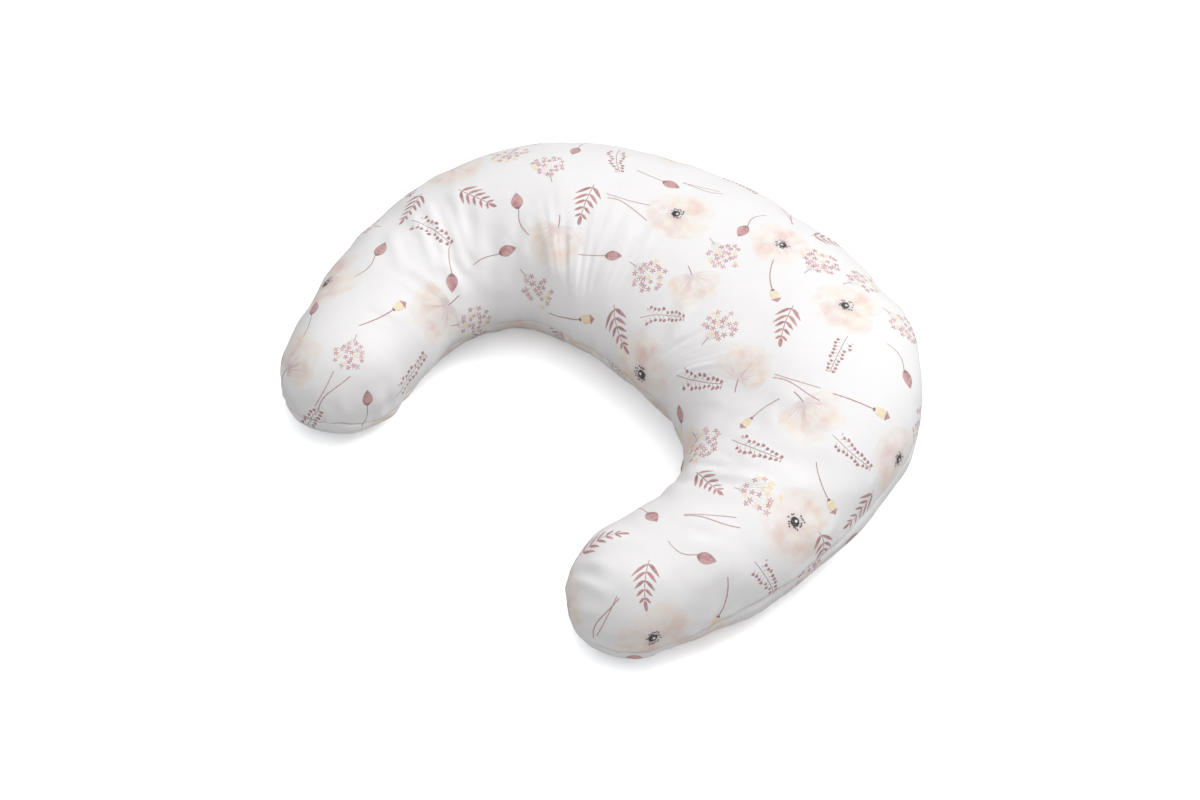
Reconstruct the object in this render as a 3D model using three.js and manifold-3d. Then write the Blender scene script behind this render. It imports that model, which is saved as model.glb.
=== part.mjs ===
// Crescent nursing pillow: a fibre-filled insert in its own casing, inside a zipped cotton cover.
// Millimetres, +Z up. The pillow lies flat with its base on Z = 0. The opening between the horns
// faces -Y, the horns lie to -X and +X, and the back of the crescent, with the zip, faces +Y.
// The origin is under the centre of the bounding box.
import * as THREE from 'three';
import { mergeVertices } from 'three/addons/utils/BufferGeometryUtils.js';
import Module from 'manifold-3d';

// ---- pillow shape ------------------------------------------------------------------------------
// Knots are shares of the half seam, from mid-back (0) to the tip of a horn (1).
const EDGE_HALF = 745; // length of the outer seam in plan, from mid-back to one tip
const KNOTS = [0, 0.2, 0.42, 0.62, 0.82, 1.0];
const TURN = [2.16, 2.16, 2.80, 2.71, 1.47, 0.48]; // outer seam's turn, radians per half seam
const HALF_WIDTH = [129.7, 126.1, 113.1, 91.8, 72.2, 62.6]; // in plan
const HEIGHT_KNOTS = [0, 0.35, 0.7, 1.0];
const HALF_HEIGHT = [78.2, 78.2, 61.2, 53.2];
const TIP_CAP = 67.5; // length of the rounded end of each horn
const CAP_START = EDGE_HALF - TIP_CAP;
const CAP_WIDTH_EXPONENT = 2; // how the width closes over the cap
const CAP_HEIGHT_EXPONENT = 2.2; // how the height closes over the cap
const SEAM_LEVEL = 0.9; // seam height as a share of the half height: the base settles flat
const SEAM_Z = SEAM_LEVEL * HALF_HEIGHT[0];
const FACE_R = EDGE_HALF / TURN[0]; // radius of the back seam's arc, up to the second knot
const ROUNDNESS = 2.15; // exponent of the cross-section

// ---- layers ------------------------------------------------------------------------------------
// How far each layer lies inside the cover's face: sideways, upwards, and its lowest z at the base.
const COVER = { sideways: 0, up: 0, floor: 0, cloth: 0.8, allowance: 4.5, slotted: true };
const INSERT = { sideways: 6.0, up: 1.4, floor: 1.3, cloth: 0.6, allowance: 3.6, slotted: false };
const FILL = { sideways: 10.2, up: 2.5, floor: 2.4 };
const SEAM_GAP = 0.6; // half of the slit between two seamed cloths, for the thread
const THREAD_HALF = 0.28; // half thickness of the seam threads
const CLOSING_STATIONS = 3; // closing stitch, stations each side of the middle of the inner edge

// ---- zip: angles on the back seam's arc, depths below the cover's face, heights from the seam --
const SLOT_HALF = 4.6; // half of the slot between the two cover edges
const SLOT_HALF_DEG = 21.3;
const SLOT_ALLOWANCE_DEG = 24.4; // up to here the outer seam allowance is narrow
const SLOT_FOLD = 0.35; // narrow allowance beyond the cloth thickness
const STRIP_STEP_DEG = 2.5;
const CHAIN_SLIT = 0.6; // half of the slit between the two coils
const COIL = { halfDeg: 20.4, depth: [0.3, 1.95], width: 2.0 };
const TAPE = { halfDeg: 23.0, thick: 0.6, line: [[2.3, 1.0], [2.5, 4.6], [3.7, 12.0]] }; // [depth, height]
const STITCH = { halfDeg: 22.4, depth: [2.28, 2.58], heights: [7.0, 7.8] };
const STOP = { degs: [20.6, 21.0], depth: [0.1, 2.0], reach: 3.2 };
const BARTACK = { degs: [22.05, 22.35], depth: [-0.95, -0.4], reach: 5.5 };

const SLIDER_REST_DEG = 18.8; // slider at the closed end
const SLIDER = {
  len: 10.5, half: 3.9,
  front: [-1.3, -0.1], back: [3.65, 4.65], // depths of the two plates
  noseHalf: 1.1, shoulders: [1.6, 3.4], corner: 0.9, // plate outline, shoulders measured from the nose
  post: { half: 0.28, ends: [0.2, 2.6] }, // joins the plates near the nose
  lip: { across: [3.0, 3.9], depth: 1.7, fromNose: 3.6, fromTail: 1.0 },
  overlap: 0.5, // how far the post and lips sink into the plates
};
const PIVOT_OUT = 2.35; // pull tab pivot, outside the cover's face
const BRIDGE = { inner: 1.3, outer: 2.2, under: 1.05, top: 1.95, half: 0.7, overlap: 0.4 };
const PULL = {
  thick: 1.0, len: 24, eyeHalf: 2.3, gripHalf: 3.5,
  chamfer: 0.5, flare: [5, 9], // corner at the eye end, widening to the grip
  shoulders: [2.2, 2.21], arcDeg: 60, // ends of the -y and +y sides, measured from the tip
  slot: [0.5, 3.3], slotHalf: 1.05,
  hole: { fromTip: 6.5, halfLen: 2.6, halfWidth: 1.2 },
};

// Care label: line down its middle, [outside the seam, height from the seam].
const LABEL = {
  s: -226, half: 15, thick: 0.5, steps: 3,
  line: [[-0.7, 0], [1.6, 0], [3.4, -1.2], [4.3, -4], [4.6, -12], [4.4, -22], [3.6, -34]],
};

const THREAD = { color: 0xf4eeea, roughness: 0.6 };
const STOP_METAL = { color: 0xd9d6d2, roughness: 0.35, metalness: 0.8 };
const SLIDER_METAL = { color: 0xe4e1dd, roughness: 0.3, metalness: 0.9 };

// ---- plan curves -------------------------------------------------------------------------------
const rad = (degrees) => degrees * Math.PI / 180;

// Monotone cubic through the knots (Fritsch-Carlson): no overshoot between knots.
function curveThrough(xs, ys) {
  const last = xs.length - 1;
  const gaps = xs.slice(1).map((x, i) => x - xs[i]);
  const rises = gaps.map((gap, i) => (ys[i + 1] - ys[i]) / gap);
  const slopes = new Array(xs.length).fill(0);
  for (let i = 1; i < last; i++) {
    if (rises[i - 1] * rises[i] > 0) {
      const before = 2 * gaps[i] + gaps[i - 1];
      const after = gaps[i] + 2 * gaps[i - 1];
      slopes[i] = (before + after) / (before / rises[i - 1] + after / rises[i]);
    }
  }
  // the end slope is flat where the estimate would run against the first rise
  const endSlope = (i, next) => {
    const slope = ((2 * gaps[i] + gaps[next]) * rises[i] - gaps[i] * rises[next])
      / (gaps[i] + gaps[next]);
    return slope * rises[i] <= 0 ? 0 : slope;
  };
  slopes[0] = endSlope(0, 1);
  slopes[last] = endSlope(last - 1, last - 2);
  return (x) => {
    let i = 0;
    while (i < last - 1 && x > xs[i + 1]) i++;
    const u = Math.min(1, (x - xs[i]) / gaps[i]);
    const u2 = u * u;
    const u3 = u2 * u;
    return (2 * u3 - 3 * u2 + 1) * ys[i] + (u3 - 2 * u2 + u) * gaps[i] * slopes[i]
      + (3 * u2 - 2 * u3) * ys[i + 1] + (u3 - u2) * gaps[i] * slopes[i + 1];
  };
}
const turnAt = curveThrough(KNOTS, TURN);
const widthAt = curveThrough(KNOTS, HALF_WIDTH);
const heightAt = curveThrough(HEIGHT_KNOTS, HALF_HEIGHT);

// The +X half of the outer seam in plan, integrated once in fine steps.
const SEAM_STEP = 0.5;
const seam = [{ x: 0, y: 0, heading: 0 }];
for (let s = SEAM_STEP; s <= EDGE_HALF + SEAM_STEP; s += SEAM_STEP) {
  const { x, y, heading } = seam[seam.length - 1];
  const turn = turnAt((s - SEAM_STEP / 2) / EDGE_HALF) / EDGE_HALF * SEAM_STEP;
  const middle = heading + turn / 2;
  seam.push({
    x: x + Math.cos(middle) * SEAM_STEP,
    y: y - Math.sin(middle) * SEAM_STEP,
    heading: heading + turn,
  });
}

// Point and outward normal of the outer seam, at a length s from mid-back, negative towards -X.
function edgeAt(s) {
  const place = Math.abs(s) / SEAM_STEP;
  const i = Math.floor(place);
  const mix = (key) => seam[i][key] + (seam[i + 1][key] - seam[i][key]) * (place - i);
  const heading = mix('heading');
  const sign = Math.sign(s);
  return { x: sign * mix('x'), y: mix('y'), nx: sign * Math.sin(heading), ny: Math.cos(heading) };
}

// ---- stations along the seam: by angle in the zip's stretch, then even steps, then the cap ------
const SLOT_END_DEGS = [SLOT_HALF_DEG, 21.9, SLOT_ALLOWANCE_DEG];
const ARC_DEGS = [0, 5, 10, 15, 20, ...SLOT_END_DEGS, 26];
const BODY_STEPS = 10;
const CAP_STEPS = 6;

// s is the length along the seam, cap the share of the cap's length passed.
function halfStations() {
  const half = ARC_DEGS.map((deg) => ({ s: rad(deg) * FACE_R, cap: 0, deg }));
  const start = half[half.length - 1].s;
  for (let i = 1; i <= BODY_STEPS; i++) {
    half.push({ s: start + (CAP_START - start) * i / BODY_STEPS, cap: 0, deg: Infinity });
  }
  for (let i = 1; i <= CAP_STEPS; i++) {
    half.push({ s: CAP_START, cap: Math.sin(rad(90 * i / CAP_STEPS)), deg: Infinity });
  }
  return half;
}
const half = halfStations();
const stations = [
  ...half.slice(1).reverse().map((station) => ({ ...station, sign: -1 })),
  ...half.map((station) => ({ ...station, sign: 1 })),
];

// Section frame of a layer at one station: plan centre, outward normal, half width A, half height B
// and seam height zc.
function frameAt({ s, cap, sign }, sideways, up = 0) {
  const edge = edgeAt(sign * (s + cap * (TIP_CAP - sideways)));
  const share = (s + cap * TIP_CAP) / EDGE_HALF;
  const width = widthAt(share);
  const height = heightAt(share);
  return {
    ...edge,
    x: edge.x - edge.nx * width,
    y: edge.y - edge.ny * width,
    A: (width - sideways) * Math.sqrt(1 - cap ** CAP_WIDTH_EXPONENT),
    B: (height - up) * Math.sqrt(1 - cap ** CAP_HEIGHT_EXPONENT),
    zc: SEAM_LEVEL * height,
  };
}
const pointAt = (frame, out, z) => [frame.x + frame.nx * out, frame.y + frame.ny * out, z];

// Closed surface from rings of equal length. Shared points are merged, flat triangles dropped.
// flipped(j) picks the other diagonal, so that layers match where their rings run opposite ways.
function solid(rings, { capped = false, flipped = () => false } = {}) {
  const points = [];
  const ids = new Map();
  const triangles = [];
  const idOf = (point) => {
    const key = point.map((v) => Math.round(v * 1e4)).join(',');
    if (!ids.has(key)) {
      ids.set(key, points.length / 3);
      points.push(...point);
    }
    return ids.get(key);
  };
  const add = (p, q, r) => {
    if (p !== q && q !== r && p !== r) triangles.push(p, q, r);
  };
  const loops = rings.map((ring) => ring.map(idOf));
  const size = loops[0].length;
  for (let i = 0; i < loops.length - 1; i++) {
    const a = loops[i];
    const b = loops[i + 1];
    for (let j = 0; j < size; j++) {
      const k = (j + 1) % size;
      if (flipped(j)) {
        add(a[j], b[j], a[k]);
        add(b[j], b[k], a[k]);
      } else {
        add(a[j], b[j], b[k]);
        add(a[j], b[k], a[k]);
      }
    }
  }
  if (capped) {
    // end faces as a ladder between the two long sides of the section
    const a = loops[0];
    const b = loops[loops.length - 1];
    for (let j = 0; j < size / 2 - 1; j++) {
      const k = size - 1 - j;
      add(a[j], a[j + 1], a[k]);
      add(a[j + 1], a[k - 1], a[k]);
      add(b[j], b[k], b[j + 1]);
      add(b[j + 1], b[k], b[k - 1]);
    }
  }
  // a negative volume means the faces point inwards
  let volume = 0;
  const corner = (i) => new THREE.Vector3().fromArray(points, 3 * triangles[i]);
  for (let i = 0; i < triangles.length; i += 3) {
    volume += corner(i).dot(corner(i + 1).cross(corner(i + 2)));
  }
  if (volume < 0) {
    for (let i = 0; i < triangles.length; i += 3) {
      [triangles[i], triangles[i + 1]] = [triangles[i + 1], triangles[i]];
    }
  }
  return bufferGeometry(points, triangles);
}
function bufferGeometry(points, triangles) {
  const geometry = new THREE.BufferGeometry();
  geometry.setAttribute('position', new THREE.Float32BufferAttribute(points, 3));
  geometry.setIndex(triangles);
  return geometry;
}

// ---- cloth panels and fill ---------------------------------------------------------------------
// Unit cross-section, by angle from the outer edge over the top to the inner edge.
const power = (v) => Math.sign(v) * Math.abs(v) ** (2 / ROUNDNESS);
const SECTION = [8.5, 26, 47, 68, 90, 112, 133, 154, 171.5].map(rad)
  .map((angle) => ({ across: power(Math.cos(angle)), rise: power(Math.sin(angle)) }));
const FIRST_RISE = HALF_HEIGHT[0] * SECTION[0].rise;

// One face of a panel from outer to inner edge. Side +1 is the top, -1 the base; the edges are
// heights from the seam. Only the base reaches down to the floor.
function facePoints(frame, side, outerEdge, innerEdge, floor) {
  const { A, B, zc } = frame;
  const run = Math.max(0, B - outerEdge);
  const lift = (outerEdge - SEAM_GAP) / (FIRST_RISE - SEAM_GAP);
  const edgeOut = A - A * (1 - SECTION[0].across) * lift;
  return [
    pointAt(frame, edgeOut, zc + side * outerEdge),
    ...SECTION.map(({ across, rise }) =>
      pointAt(frame, A * across, Math.max(zc + side * (outerEdge + run * rise), floor))),
    pointAt(frame, -A, zc + side * innerEdge),
  ];
}

// A panel: outside face, seam allowances turned in at both edges, inside face.
function panel(layer, side) {
  const { sideways, up, floor, cloth, allowance, slotted } = layer;
  const rings = stations.map((station) => {
    const edge = slotted && station.deg <= SLOT_HALF_DEG ? SLOT_HALF : SEAM_GAP;
    const narrow = slotted && station.deg <= SLOT_ALLOWANCE_DEG;
    const outside = frameAt(station, sideways, up);
    const inside = frameAt(station, sideways + cloth, up + cloth);
    const outerFold = frameAt(station, sideways + (narrow ? cloth + SLOT_FOLD : allowance));
    const innerFold = frameAt(station, sideways + allowance);
    const outerPoint = (h) => pointAt(outerFold, outerFold.A, outerFold.zc + side * h);
    const innerPoint = (h) => pointAt(innerFold, -innerFold.A, innerFold.zc + side * h);
    return [
      ...facePoints(outside, side, edge, SEAM_GAP, floor),
      innerPoint(SEAM_GAP),
      innerPoint(SEAM_GAP + cloth),
      ...facePoints(inside, side, edge + cloth, SEAM_GAP + cloth, floor + cloth).reverse(),
      outerPoint(edge + cloth),
      outerPoint(edge),
    ];
  });
  const insideStart = SECTION.length + 4;
  const insideEnd = insideStart + SECTION.length + 1;
  return solid(rings, { flipped: (j) => j >= insideStart && j < insideEnd });
}

// The solid fibre body; it skips the stations at the slot's ends.
function fillBody() {
  const plain = stations.filter((station) => !SLOT_END_DEGS.includes(station.deg));
  const rings = plain.map((station) => {
    const frame = frameAt(station, FILL.sideways, FILL.up);
    const { A, B, zc } = frame;
    return [
      pointAt(frame, A, zc),
      ...SECTION.map(({ across, rise }) => pointAt(frame, A * across, zc + B * rise)),
      pointAt(frame, -A, zc),
      ...SECTION.map(({ across, rise }) =>
        pointAt(frame, A * across, Math.max(FILL.floor, zc - B * rise))).reverse(),
    ];
  });
  return solid(rings, { flipped: (j) => j > SECTION.length });
}

// ---- seam threads ------------------------------------------------------------------------------
// A flat ribbon in the seam's slit, between two depths inside the cover's face.
function seamThread([near, far], path) {
  const rings = path.map(({ station, side }) => {
    const a = frameAt(station, near);
    const b = frameAt(station, far);
    return [
      pointAt(a, side * a.A, a.zc - THREAD_HALF),
      pointAt(a, side * a.A, a.zc + THREAD_HALF),
      pointAt(b, side * b.A, b.zc + THREAD_HALF),
      pointAt(b, side * b.A, b.zc - THREAD_HALF),
    ];
  });
  return solid(rings, { capped: true });
}

// Stations from one index to another, on the outer (+1) or inner (-1) edge of the crescent.
function along(from, to, side) {
  const step = Math.sign(to - from);
  const count = Math.abs(to - from) + 1;
  return Array.from({ length: count }, (_, i) => ({ station: stations[from + i * step], side }));
}
const END = stations.length - 1;
const MID = END / 2;
const SEAM_START = MID + ARC_DEGS.length - 1; // where the cover's seam starts beside the zip
const CASING_GAP = CLOSING_STATIONS + 1;
const coverPath = [
  ...along(SEAM_START, END, 1), ...along(END - 1, 1, -1), ...along(0, END - SEAM_START, 1),
];
const insertPath = [
  ...along(MID - CASING_GAP, 0, -1), ...along(1, END - 1, 1), ...along(END, MID + CASING_GAP, -1),
];
const closingPath = along(MID - CLOSING_STATIONS, MID + CLOSING_STATIONS, -1);

// ---- zip ---------------------------------------------------------------------------------------
// A strip along the back seam's arc; section points are [depth, height].
function arcStrip(section, from, to) {
  const steps = Math.ceil((to - from) / STRIP_STEP_DEG);
  const rings = [];
  for (let i = 0; i <= steps; i++) {
    const angle = rad(from + (to - from) * i / steps);
    rings.push(section.map(([depth, height]) => {
      const r = FACE_R - depth;
      return [r * Math.sin(angle), -FACE_R + r * Math.cos(angle), SEAM_Z + height];
    }));
  }
  return solid(rings, { capped: true });
}
const centredStrip = (section, halfDeg) => arcStrip(section, -halfDeg, halfDeg);
const boxSection = ([d0, d1], z0, z1) => [[d0, z0], [d0, z1], [d1, z1], [d1, z0]];

// sign: +1 above the seam, -1 below
function zipTape(sign) {
  const face = TAPE.line.map(([depth, height]) => [depth, sign * height]);
  const rear = face.map(([depth, height]) => [depth + TAPE.thick, height]).reverse();
  return centredStrip([...face, ...rear], TAPE.halfDeg);
}
function zipCoil(sign) {
  const far = CHAIN_SLIT + COIL.width;
  return centredStrip(boxSection(COIL.depth, sign * CHAIN_SLIT, sign * far), COIL.halfDeg);
}
function zipStitch(sign) {
  const [z0, z1] = STITCH.heights;
  return centredStrip(boxSection(STITCH.depth, sign * z0, sign * z1), STITCH.halfDeg);
}
const topStop = (sign) =>
  arcStrip(boxSection(STOP.depth, sign * CHAIN_SLIT, sign * STOP.reach), ...STOP.degs);

// A bar across the zip; sign -1 is its -X end, +1 its +X end.
function crossBar({ depth, reach, degs }, sign) {
  return arcStrip(boxSection(depth, -reach, reach), ...mirrorSpan(sign, degs));
}
function mirrorSpan(sign, [from, to]) {
  return sign > 0 ? [from, to] : [-to, -from];
}

// ---- slider and pull tab -----------------------------------------------------------------------
const wasm = await Module();
wasm.setup();
function toManifold(geometry) {
  geometry.deleteAttribute('normal');
  geometry.deleteAttribute('uv');
  const merged = mergeVertices(geometry, 1e-4);
  return new wasm.Manifold(new wasm.Mesh({
    numProp: 3,
    vertProperties: new Float32Array(merged.attributes.position.array),
    triVerts: new Uint32Array(merged.index.array),
  }));
}
function join(parts) {
  const mesh = parts.map(toManifold).reduce((whole, part) => whole.add(part)).getMesh();
  return bufferGeometry(Array.from(mesh.vertProperties), Array.from(mesh.triVerts));
}
const block = ([x0, x1], [y0, y1], [z0, z1]) => new THREE.BoxGeometry(x1 - x0, y1 - y0, z1 - z0)
  .translate((x0 + x1) / 2, (y0 + y1) / 2, (z0 + z1) / 2);
const vectors = (points) => points.map(([x, y]) => new THREE.Vector2(x, y));

// Slider axes: x along the zip, with the nose at -x; y up across it; z out of the cover's face.
function sliderPlate([outerDepth, innerDepth]) {
  const { half: w, noseHalf, shoulders, corner } = SLIDER;
  const h = SLIDER.len / 2;
  const shape = new THREE.Shape(vectors([
    [-h + shoulders[0], -w + corner], [-h + shoulders[1], -w], [h - corner, -w], [h, -w + corner],
    [h, w - corner], [h - corner, w], [-h + shoulders[1], w], [-h + shoulders[0], w - corner],
    [-h, noseHalf], [-h, -noseHalf],
  ]));
  shape.closePath();
  return new THREE.ExtrudeGeometry(shape, { depth: innerDepth - outerDepth, bevelEnabled: false })
    .translate(0, 0, -innerDepth);
}
function sliderBody() {
  const { front, back, post, lip, overlap } = SLIDER;
  const h = SLIDER.len / 2;
  const frontInner = -front[1] + overlap;
  const bridgeTop = PIVOT_OUT + BRIDGE.top;
  const across = [-BRIDGE.half, BRIDGE.half];
  return join([
    sliderPlate(front),
    sliderPlate(back),
    block(post.ends.map((x) => x - h), [-post.half, post.half], [-back[0] - overlap, frontInner]),
    ...[-1, 1].map((sign) => block(
      [-h + lip.fromNose, h - lip.fromTail], mirrorSpan(sign, lip.across), [-lip.depth, frontInner],
    )),
    ...[-1, 1].map((sign) => block(
      mirrorSpan(sign, [BRIDGE.inner, BRIDGE.outer]), across, [-front[0] - BRIDGE.overlap, bridgeTop],
    )),
    block([-BRIDGE.outer, BRIDGE.outer], across, [PIVOT_OUT + BRIDGE.under, bridgeTop]),
  ]);
}

// A flat tab along +x from its pivot, with a slot for the bridge and an oval hole in the grip.
function pullTab() {
  const { thick, len, eyeHalf, gripHalf, chamfer, flare, shoulders, slot, slotHalf, hole } = PULL;
  const arc = rad(PULL.arcDeg);
  const shape = new THREE.Shape(vectors([
    [-chamfer, -eyeHalf + chamfer], [0, -eyeHalf], [flare[0], -eyeHalf], [flare[1], -gripHalf],
    [len - shoulders[0], -gripHalf],
  ]));
  shape.absarc(len - gripHalf, 0, gripHalf, -arc, arc, false);
  shape.lineTo(len - shoulders[1], gripHalf);
  shape.lineTo(flare[1], gripHalf);
  shape.lineTo(flare[0], eyeHalf);
  shape.lineTo(0, eyeHalf);
  shape.lineTo(-chamfer, eyeHalf - chamfer);
  shape.closePath();
  const eye = new THREE.Path(vectors([
    [slot[0], -slotHalf], [slot[0], slotHalf], [slot[1], slotHalf], [slot[1], -slotHalf],
  ]));
  eye.closePath();
  const oval = new THREE.Path();
  oval.absellipse(len - hole.fromTip, 0, hole.halfLen, hole.halfWidth, 0, Math.PI * 2, true);
  shape.holes.push(eye, oval);
  const settings = { depth: thick, bevelEnabled: false, curveSegments: 5 };
  return new THREE.ExtrudeGeometry(shape, settings).translate(0, 0, -thick / 2);
}

// Care label: a ribbon caught in the seam, hanging down over the lower panel.
function careLabel() {
  const { s, half: reach, thick, steps, line } = LABEL;
  const rings = [];
  for (let i = 0; i <= steps; i++) {
    const frame = edgeAt(s - reach + (2 * reach * i) / steps);
    const face = (offset) => line.map(([out, z], k) => {
      const before = line[Math.max(0, k - 1)];
      const after = line[Math.min(line.length - 1, k + 1)];
      const dx = after[0] - before[0];
      const dz = after[1] - before[1];
      const shift = offset / Math.hypot(dx, dz);
      return pointAt(frame, out - dz * shift, SEAM_Z + z + dx * shift);
    });
    rings.push([...face(thick / 2), ...face(-thick / 2).reverse()]);
  }
  return solid(rings, { capped: true });
}

// ---- assembly ----------------------------------------------------------------------------------
const pillow = new THREE.Group();
function add(name, geometry, finish, parent = pillow) {
  const mesh = new THREE.Mesh(geometry, new THREE.MeshStandardMaterial(finish));
  mesh.name = name;
  parent.add(mesh);
}
const insertDepths = (near, far) => [INSERT.sideways + near, INSERT.sideways + far];

add('cover_top_panel', panel(COVER, 1), { color: 0xf7efec, roughness: 0.75 });
add('cover_bottom_panel', panel(COVER, -1), { color: 0xf5edea, roughness: 0.75 });
add('cover_seam_thread', seamThread([1.0, 2.2], coverPath), THREAD);
add('insert_top_panel', panel(INSERT, 1), { color: 0xf2f2f0, roughness: 0.85 });
add('insert_bottom_panel', panel(INSERT, -1), { color: 0xf0f0ee, roughness: 0.85 });
add('insert_seam_thread', seamThread(insertDepths(0.8, 1.8), insertPath),
  { color: 0xffffff, roughness: 0.6 });
add('insert_closing_stitch', seamThread(insertDepths(0.5, 2.1), closingPath),
  { color: 0xece8e2, roughness: 0.6 });
add('fibre_fill', fillBody(), { color: 0xfbfbfa, roughness: 0.95 });

for (const [word, sign] of [['upper', 1], ['lower', -1]]) {
  add(`zip_tape_${word}`, zipTape(sign), { color: 0xf3ece6, roughness: 0.7 });
  add(`zip_coil_${word}`, zipCoil(sign), { color: 0xf6f1ec, roughness: 0.45 });
  add(`zip_stitch_${word}`, zipStitch(sign), THREAD);
  add(`zip_top_stop_${word}`, topStop(sign), STOP_METAL);
}
add('zip_bottom_stop', crossBar(STOP, -1), STOP_METAL);
add('zip_bartack_left', crossBar(BARTACK, -1), THREAD);
add('zip_bartack_right', crossBar(BARTACK, 1), THREAD);
add('care_label', careLabel(), { color: 0xfafafa, roughness: 0.4 });

// Slider carriage: turns about the vertical axis of the back seam's arc.
function sliderCarriage() {
  const carriage = new THREE.Group();
  carriage.position.set(0, -FACE_R, SEAM_Z);
  carriage.rotation.z = -rad(SLIDER_REST_DEG);
  const face = new THREE.Group();
  face.position.set(0, FACE_R, 0);
  face.rotation.set(Math.PI / 2, Math.PI, 0); // nose towards the top stops, y up, z outwards
  carriage.add(face);
  const pivot = new THREE.Group();
  pivot.position.set(0, 0, PIVOT_OUT);
  pivot.rotation.y = Math.PI; // the tab lies along the zip, pointing towards the top stops
  face.add(pivot);
  add('zip_slider_body', sliderBody(), SLIDER_METAL, face);
  add('zip_pull_tab', pullTab(), SLIDER_METAL, pivot);
  return carriage;
}
pillow.add(sliderCarriage());

// centre the bounding box on Y = 0
pillow.updateMatrixWorld(true);
const bounds = new THREE.Box3().setFromObject(pillow, true);
pillow.position.y = -(bounds.min.y + bounds.max.y) / 2;
const root = new THREE.Group();
root.add(pillow);
root.updateMatrixWorld(true);
export default root;
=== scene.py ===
import math
import random

import bpy
import numpy as np
from mathutils import Matrix, Vector


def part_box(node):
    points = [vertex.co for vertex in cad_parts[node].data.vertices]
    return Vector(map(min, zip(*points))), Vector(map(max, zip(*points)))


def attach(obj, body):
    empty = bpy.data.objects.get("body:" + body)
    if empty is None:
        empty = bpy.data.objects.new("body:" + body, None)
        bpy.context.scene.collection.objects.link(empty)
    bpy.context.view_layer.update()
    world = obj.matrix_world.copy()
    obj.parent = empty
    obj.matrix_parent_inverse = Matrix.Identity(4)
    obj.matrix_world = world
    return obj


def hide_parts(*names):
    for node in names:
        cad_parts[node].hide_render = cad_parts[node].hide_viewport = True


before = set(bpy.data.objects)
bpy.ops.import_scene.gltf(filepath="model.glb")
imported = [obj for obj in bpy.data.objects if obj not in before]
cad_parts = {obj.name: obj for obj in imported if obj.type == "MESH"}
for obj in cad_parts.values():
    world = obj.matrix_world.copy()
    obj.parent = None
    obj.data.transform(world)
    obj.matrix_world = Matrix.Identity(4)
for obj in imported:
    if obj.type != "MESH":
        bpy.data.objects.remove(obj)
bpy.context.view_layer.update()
MM = 0.001

# ---------------------------------------------------------------- the pillow's shape, in millimetres
EDGE_HALF = 745.0
KNOTS = [0, 0.2, 0.42, 0.62, 0.82, 1.0]
TURN = [2.16, 2.16, 2.80, 2.71, 1.47, 0.48]
HALF_WIDTH = [129.7, 126.1, 113.1, 91.8, 72.2, 62.6]
HEIGHT_KNOTS = [0, 0.35, 0.7, 1.0]
HALF_HEIGHT = [78.2, 78.2, 61.2, 53.2]
TIP_CAP = 67.5
SEAM_LEVEL = 0.9
ROUNDNESS = 2.15
CAP_START = EDGE_HALF - TIP_CAP
FACE_R = EDGE_HALF / TURN[0]
SEAM_Z = SEAM_LEVEL * HALF_HEIGHT[0]
SLIDER_REST = math.radians(18.8)
ZIP_HALF = math.radians(20.4)
SLOT_HALF = math.radians(21.6)


def pchip(xs, ys):
    """Monotone cubic through the knots, the same curve the CAD uses."""
    xs, ys = np.asarray(xs, float), np.asarray(ys, float)
    n = len(xs)
    h, dl = np.diff(xs), np.diff(ys) / np.diff(xs)
    m = np.zeros(n)
    for i in range(1, n - 1):
        if dl[i - 1] * dl[i] > 0:
            w1, w2 = 2 * h[i] + h[i - 1], h[i] + 2 * h[i - 1]
            m[i] = (w1 + w2) / (w1 / dl[i - 1] + w2 / dl[i])

    def end(h0, h1, d0, d1):
        e = ((2 * h0 + h1) * d0 - h0 * d1) / (h0 + h1)
        if e * d0 <= 0:
            return 0.0
        if d0 * d1 <= 0 and abs(e) > 3 * abs(d0):
            return 3 * d0
        return e

    m[0], m[-1] = end(h[0], h[1], dl[0], dl[1]), end(h[-1], h[-2], dl[-1], dl[-2])

    def f(x):
        x = np.clip(np.asarray(x, float), xs[0], xs[-1])
        i = np.clip(np.searchsorted(xs, x, side="right") - 1, 0, n - 2)
        u = (x - xs[i]) / h[i]
        u2, u3 = u * u, u * u * u
        return ((2 * u3 - 3 * u2 + 1) * ys[i] + (u3 - 2 * u2 + u) * h[i] * m[i]
                + (3 * u2 - 2 * u3) * ys[i + 1] + (u3 - u2) * h[i] * m[i + 1])
    return f


turn_at, width_at, height_at = pchip(KNOTS, TURN), pchip(KNOTS, HALF_WIDTH), pchip(HEIGHT_KNOTS, HALF_HEIGHT)
_s = np.arange(0, EDGE_HALF + 1.0, 0.5)
_k = turn_at((_s[:-1] + 0.25) / EDGE_HALF) / EDGE_HALF
_th = np.concatenate([[0], np.cumsum(_k * 0.5)])
_tm = _th[:-1] + _k * 0.25
_x = np.concatenate([[0], np.cumsum(np.cos(_tm) * 0.5)])
_y = np.concatenate([[0], -np.cumsum(np.sin(_tm) * 0.5)])
# the CAD puts the origin under the middle of the box: that shift is given as a fixed number below; the fill's box is
# read from the imported model but not used
_lo, _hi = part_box("fibre_fill")
SHIFT = 256.5903


def edge_at(s):
    """Outer seam in plan at signed length s: position and outward normal."""
    a, sg = np.abs(s), np.where(s < 0, -1.0, 1.0)
    th = np.interp(a, _s, _th)
    return sg * np.interp(a, _s, _x), np.interp(a, _s, _y) + SHIFT, sg * np.sin(th), np.cos(th)


def power(v):
    return np.sign(v) * np.abs(v) ** (2 / ROUNDNESS)


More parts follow.
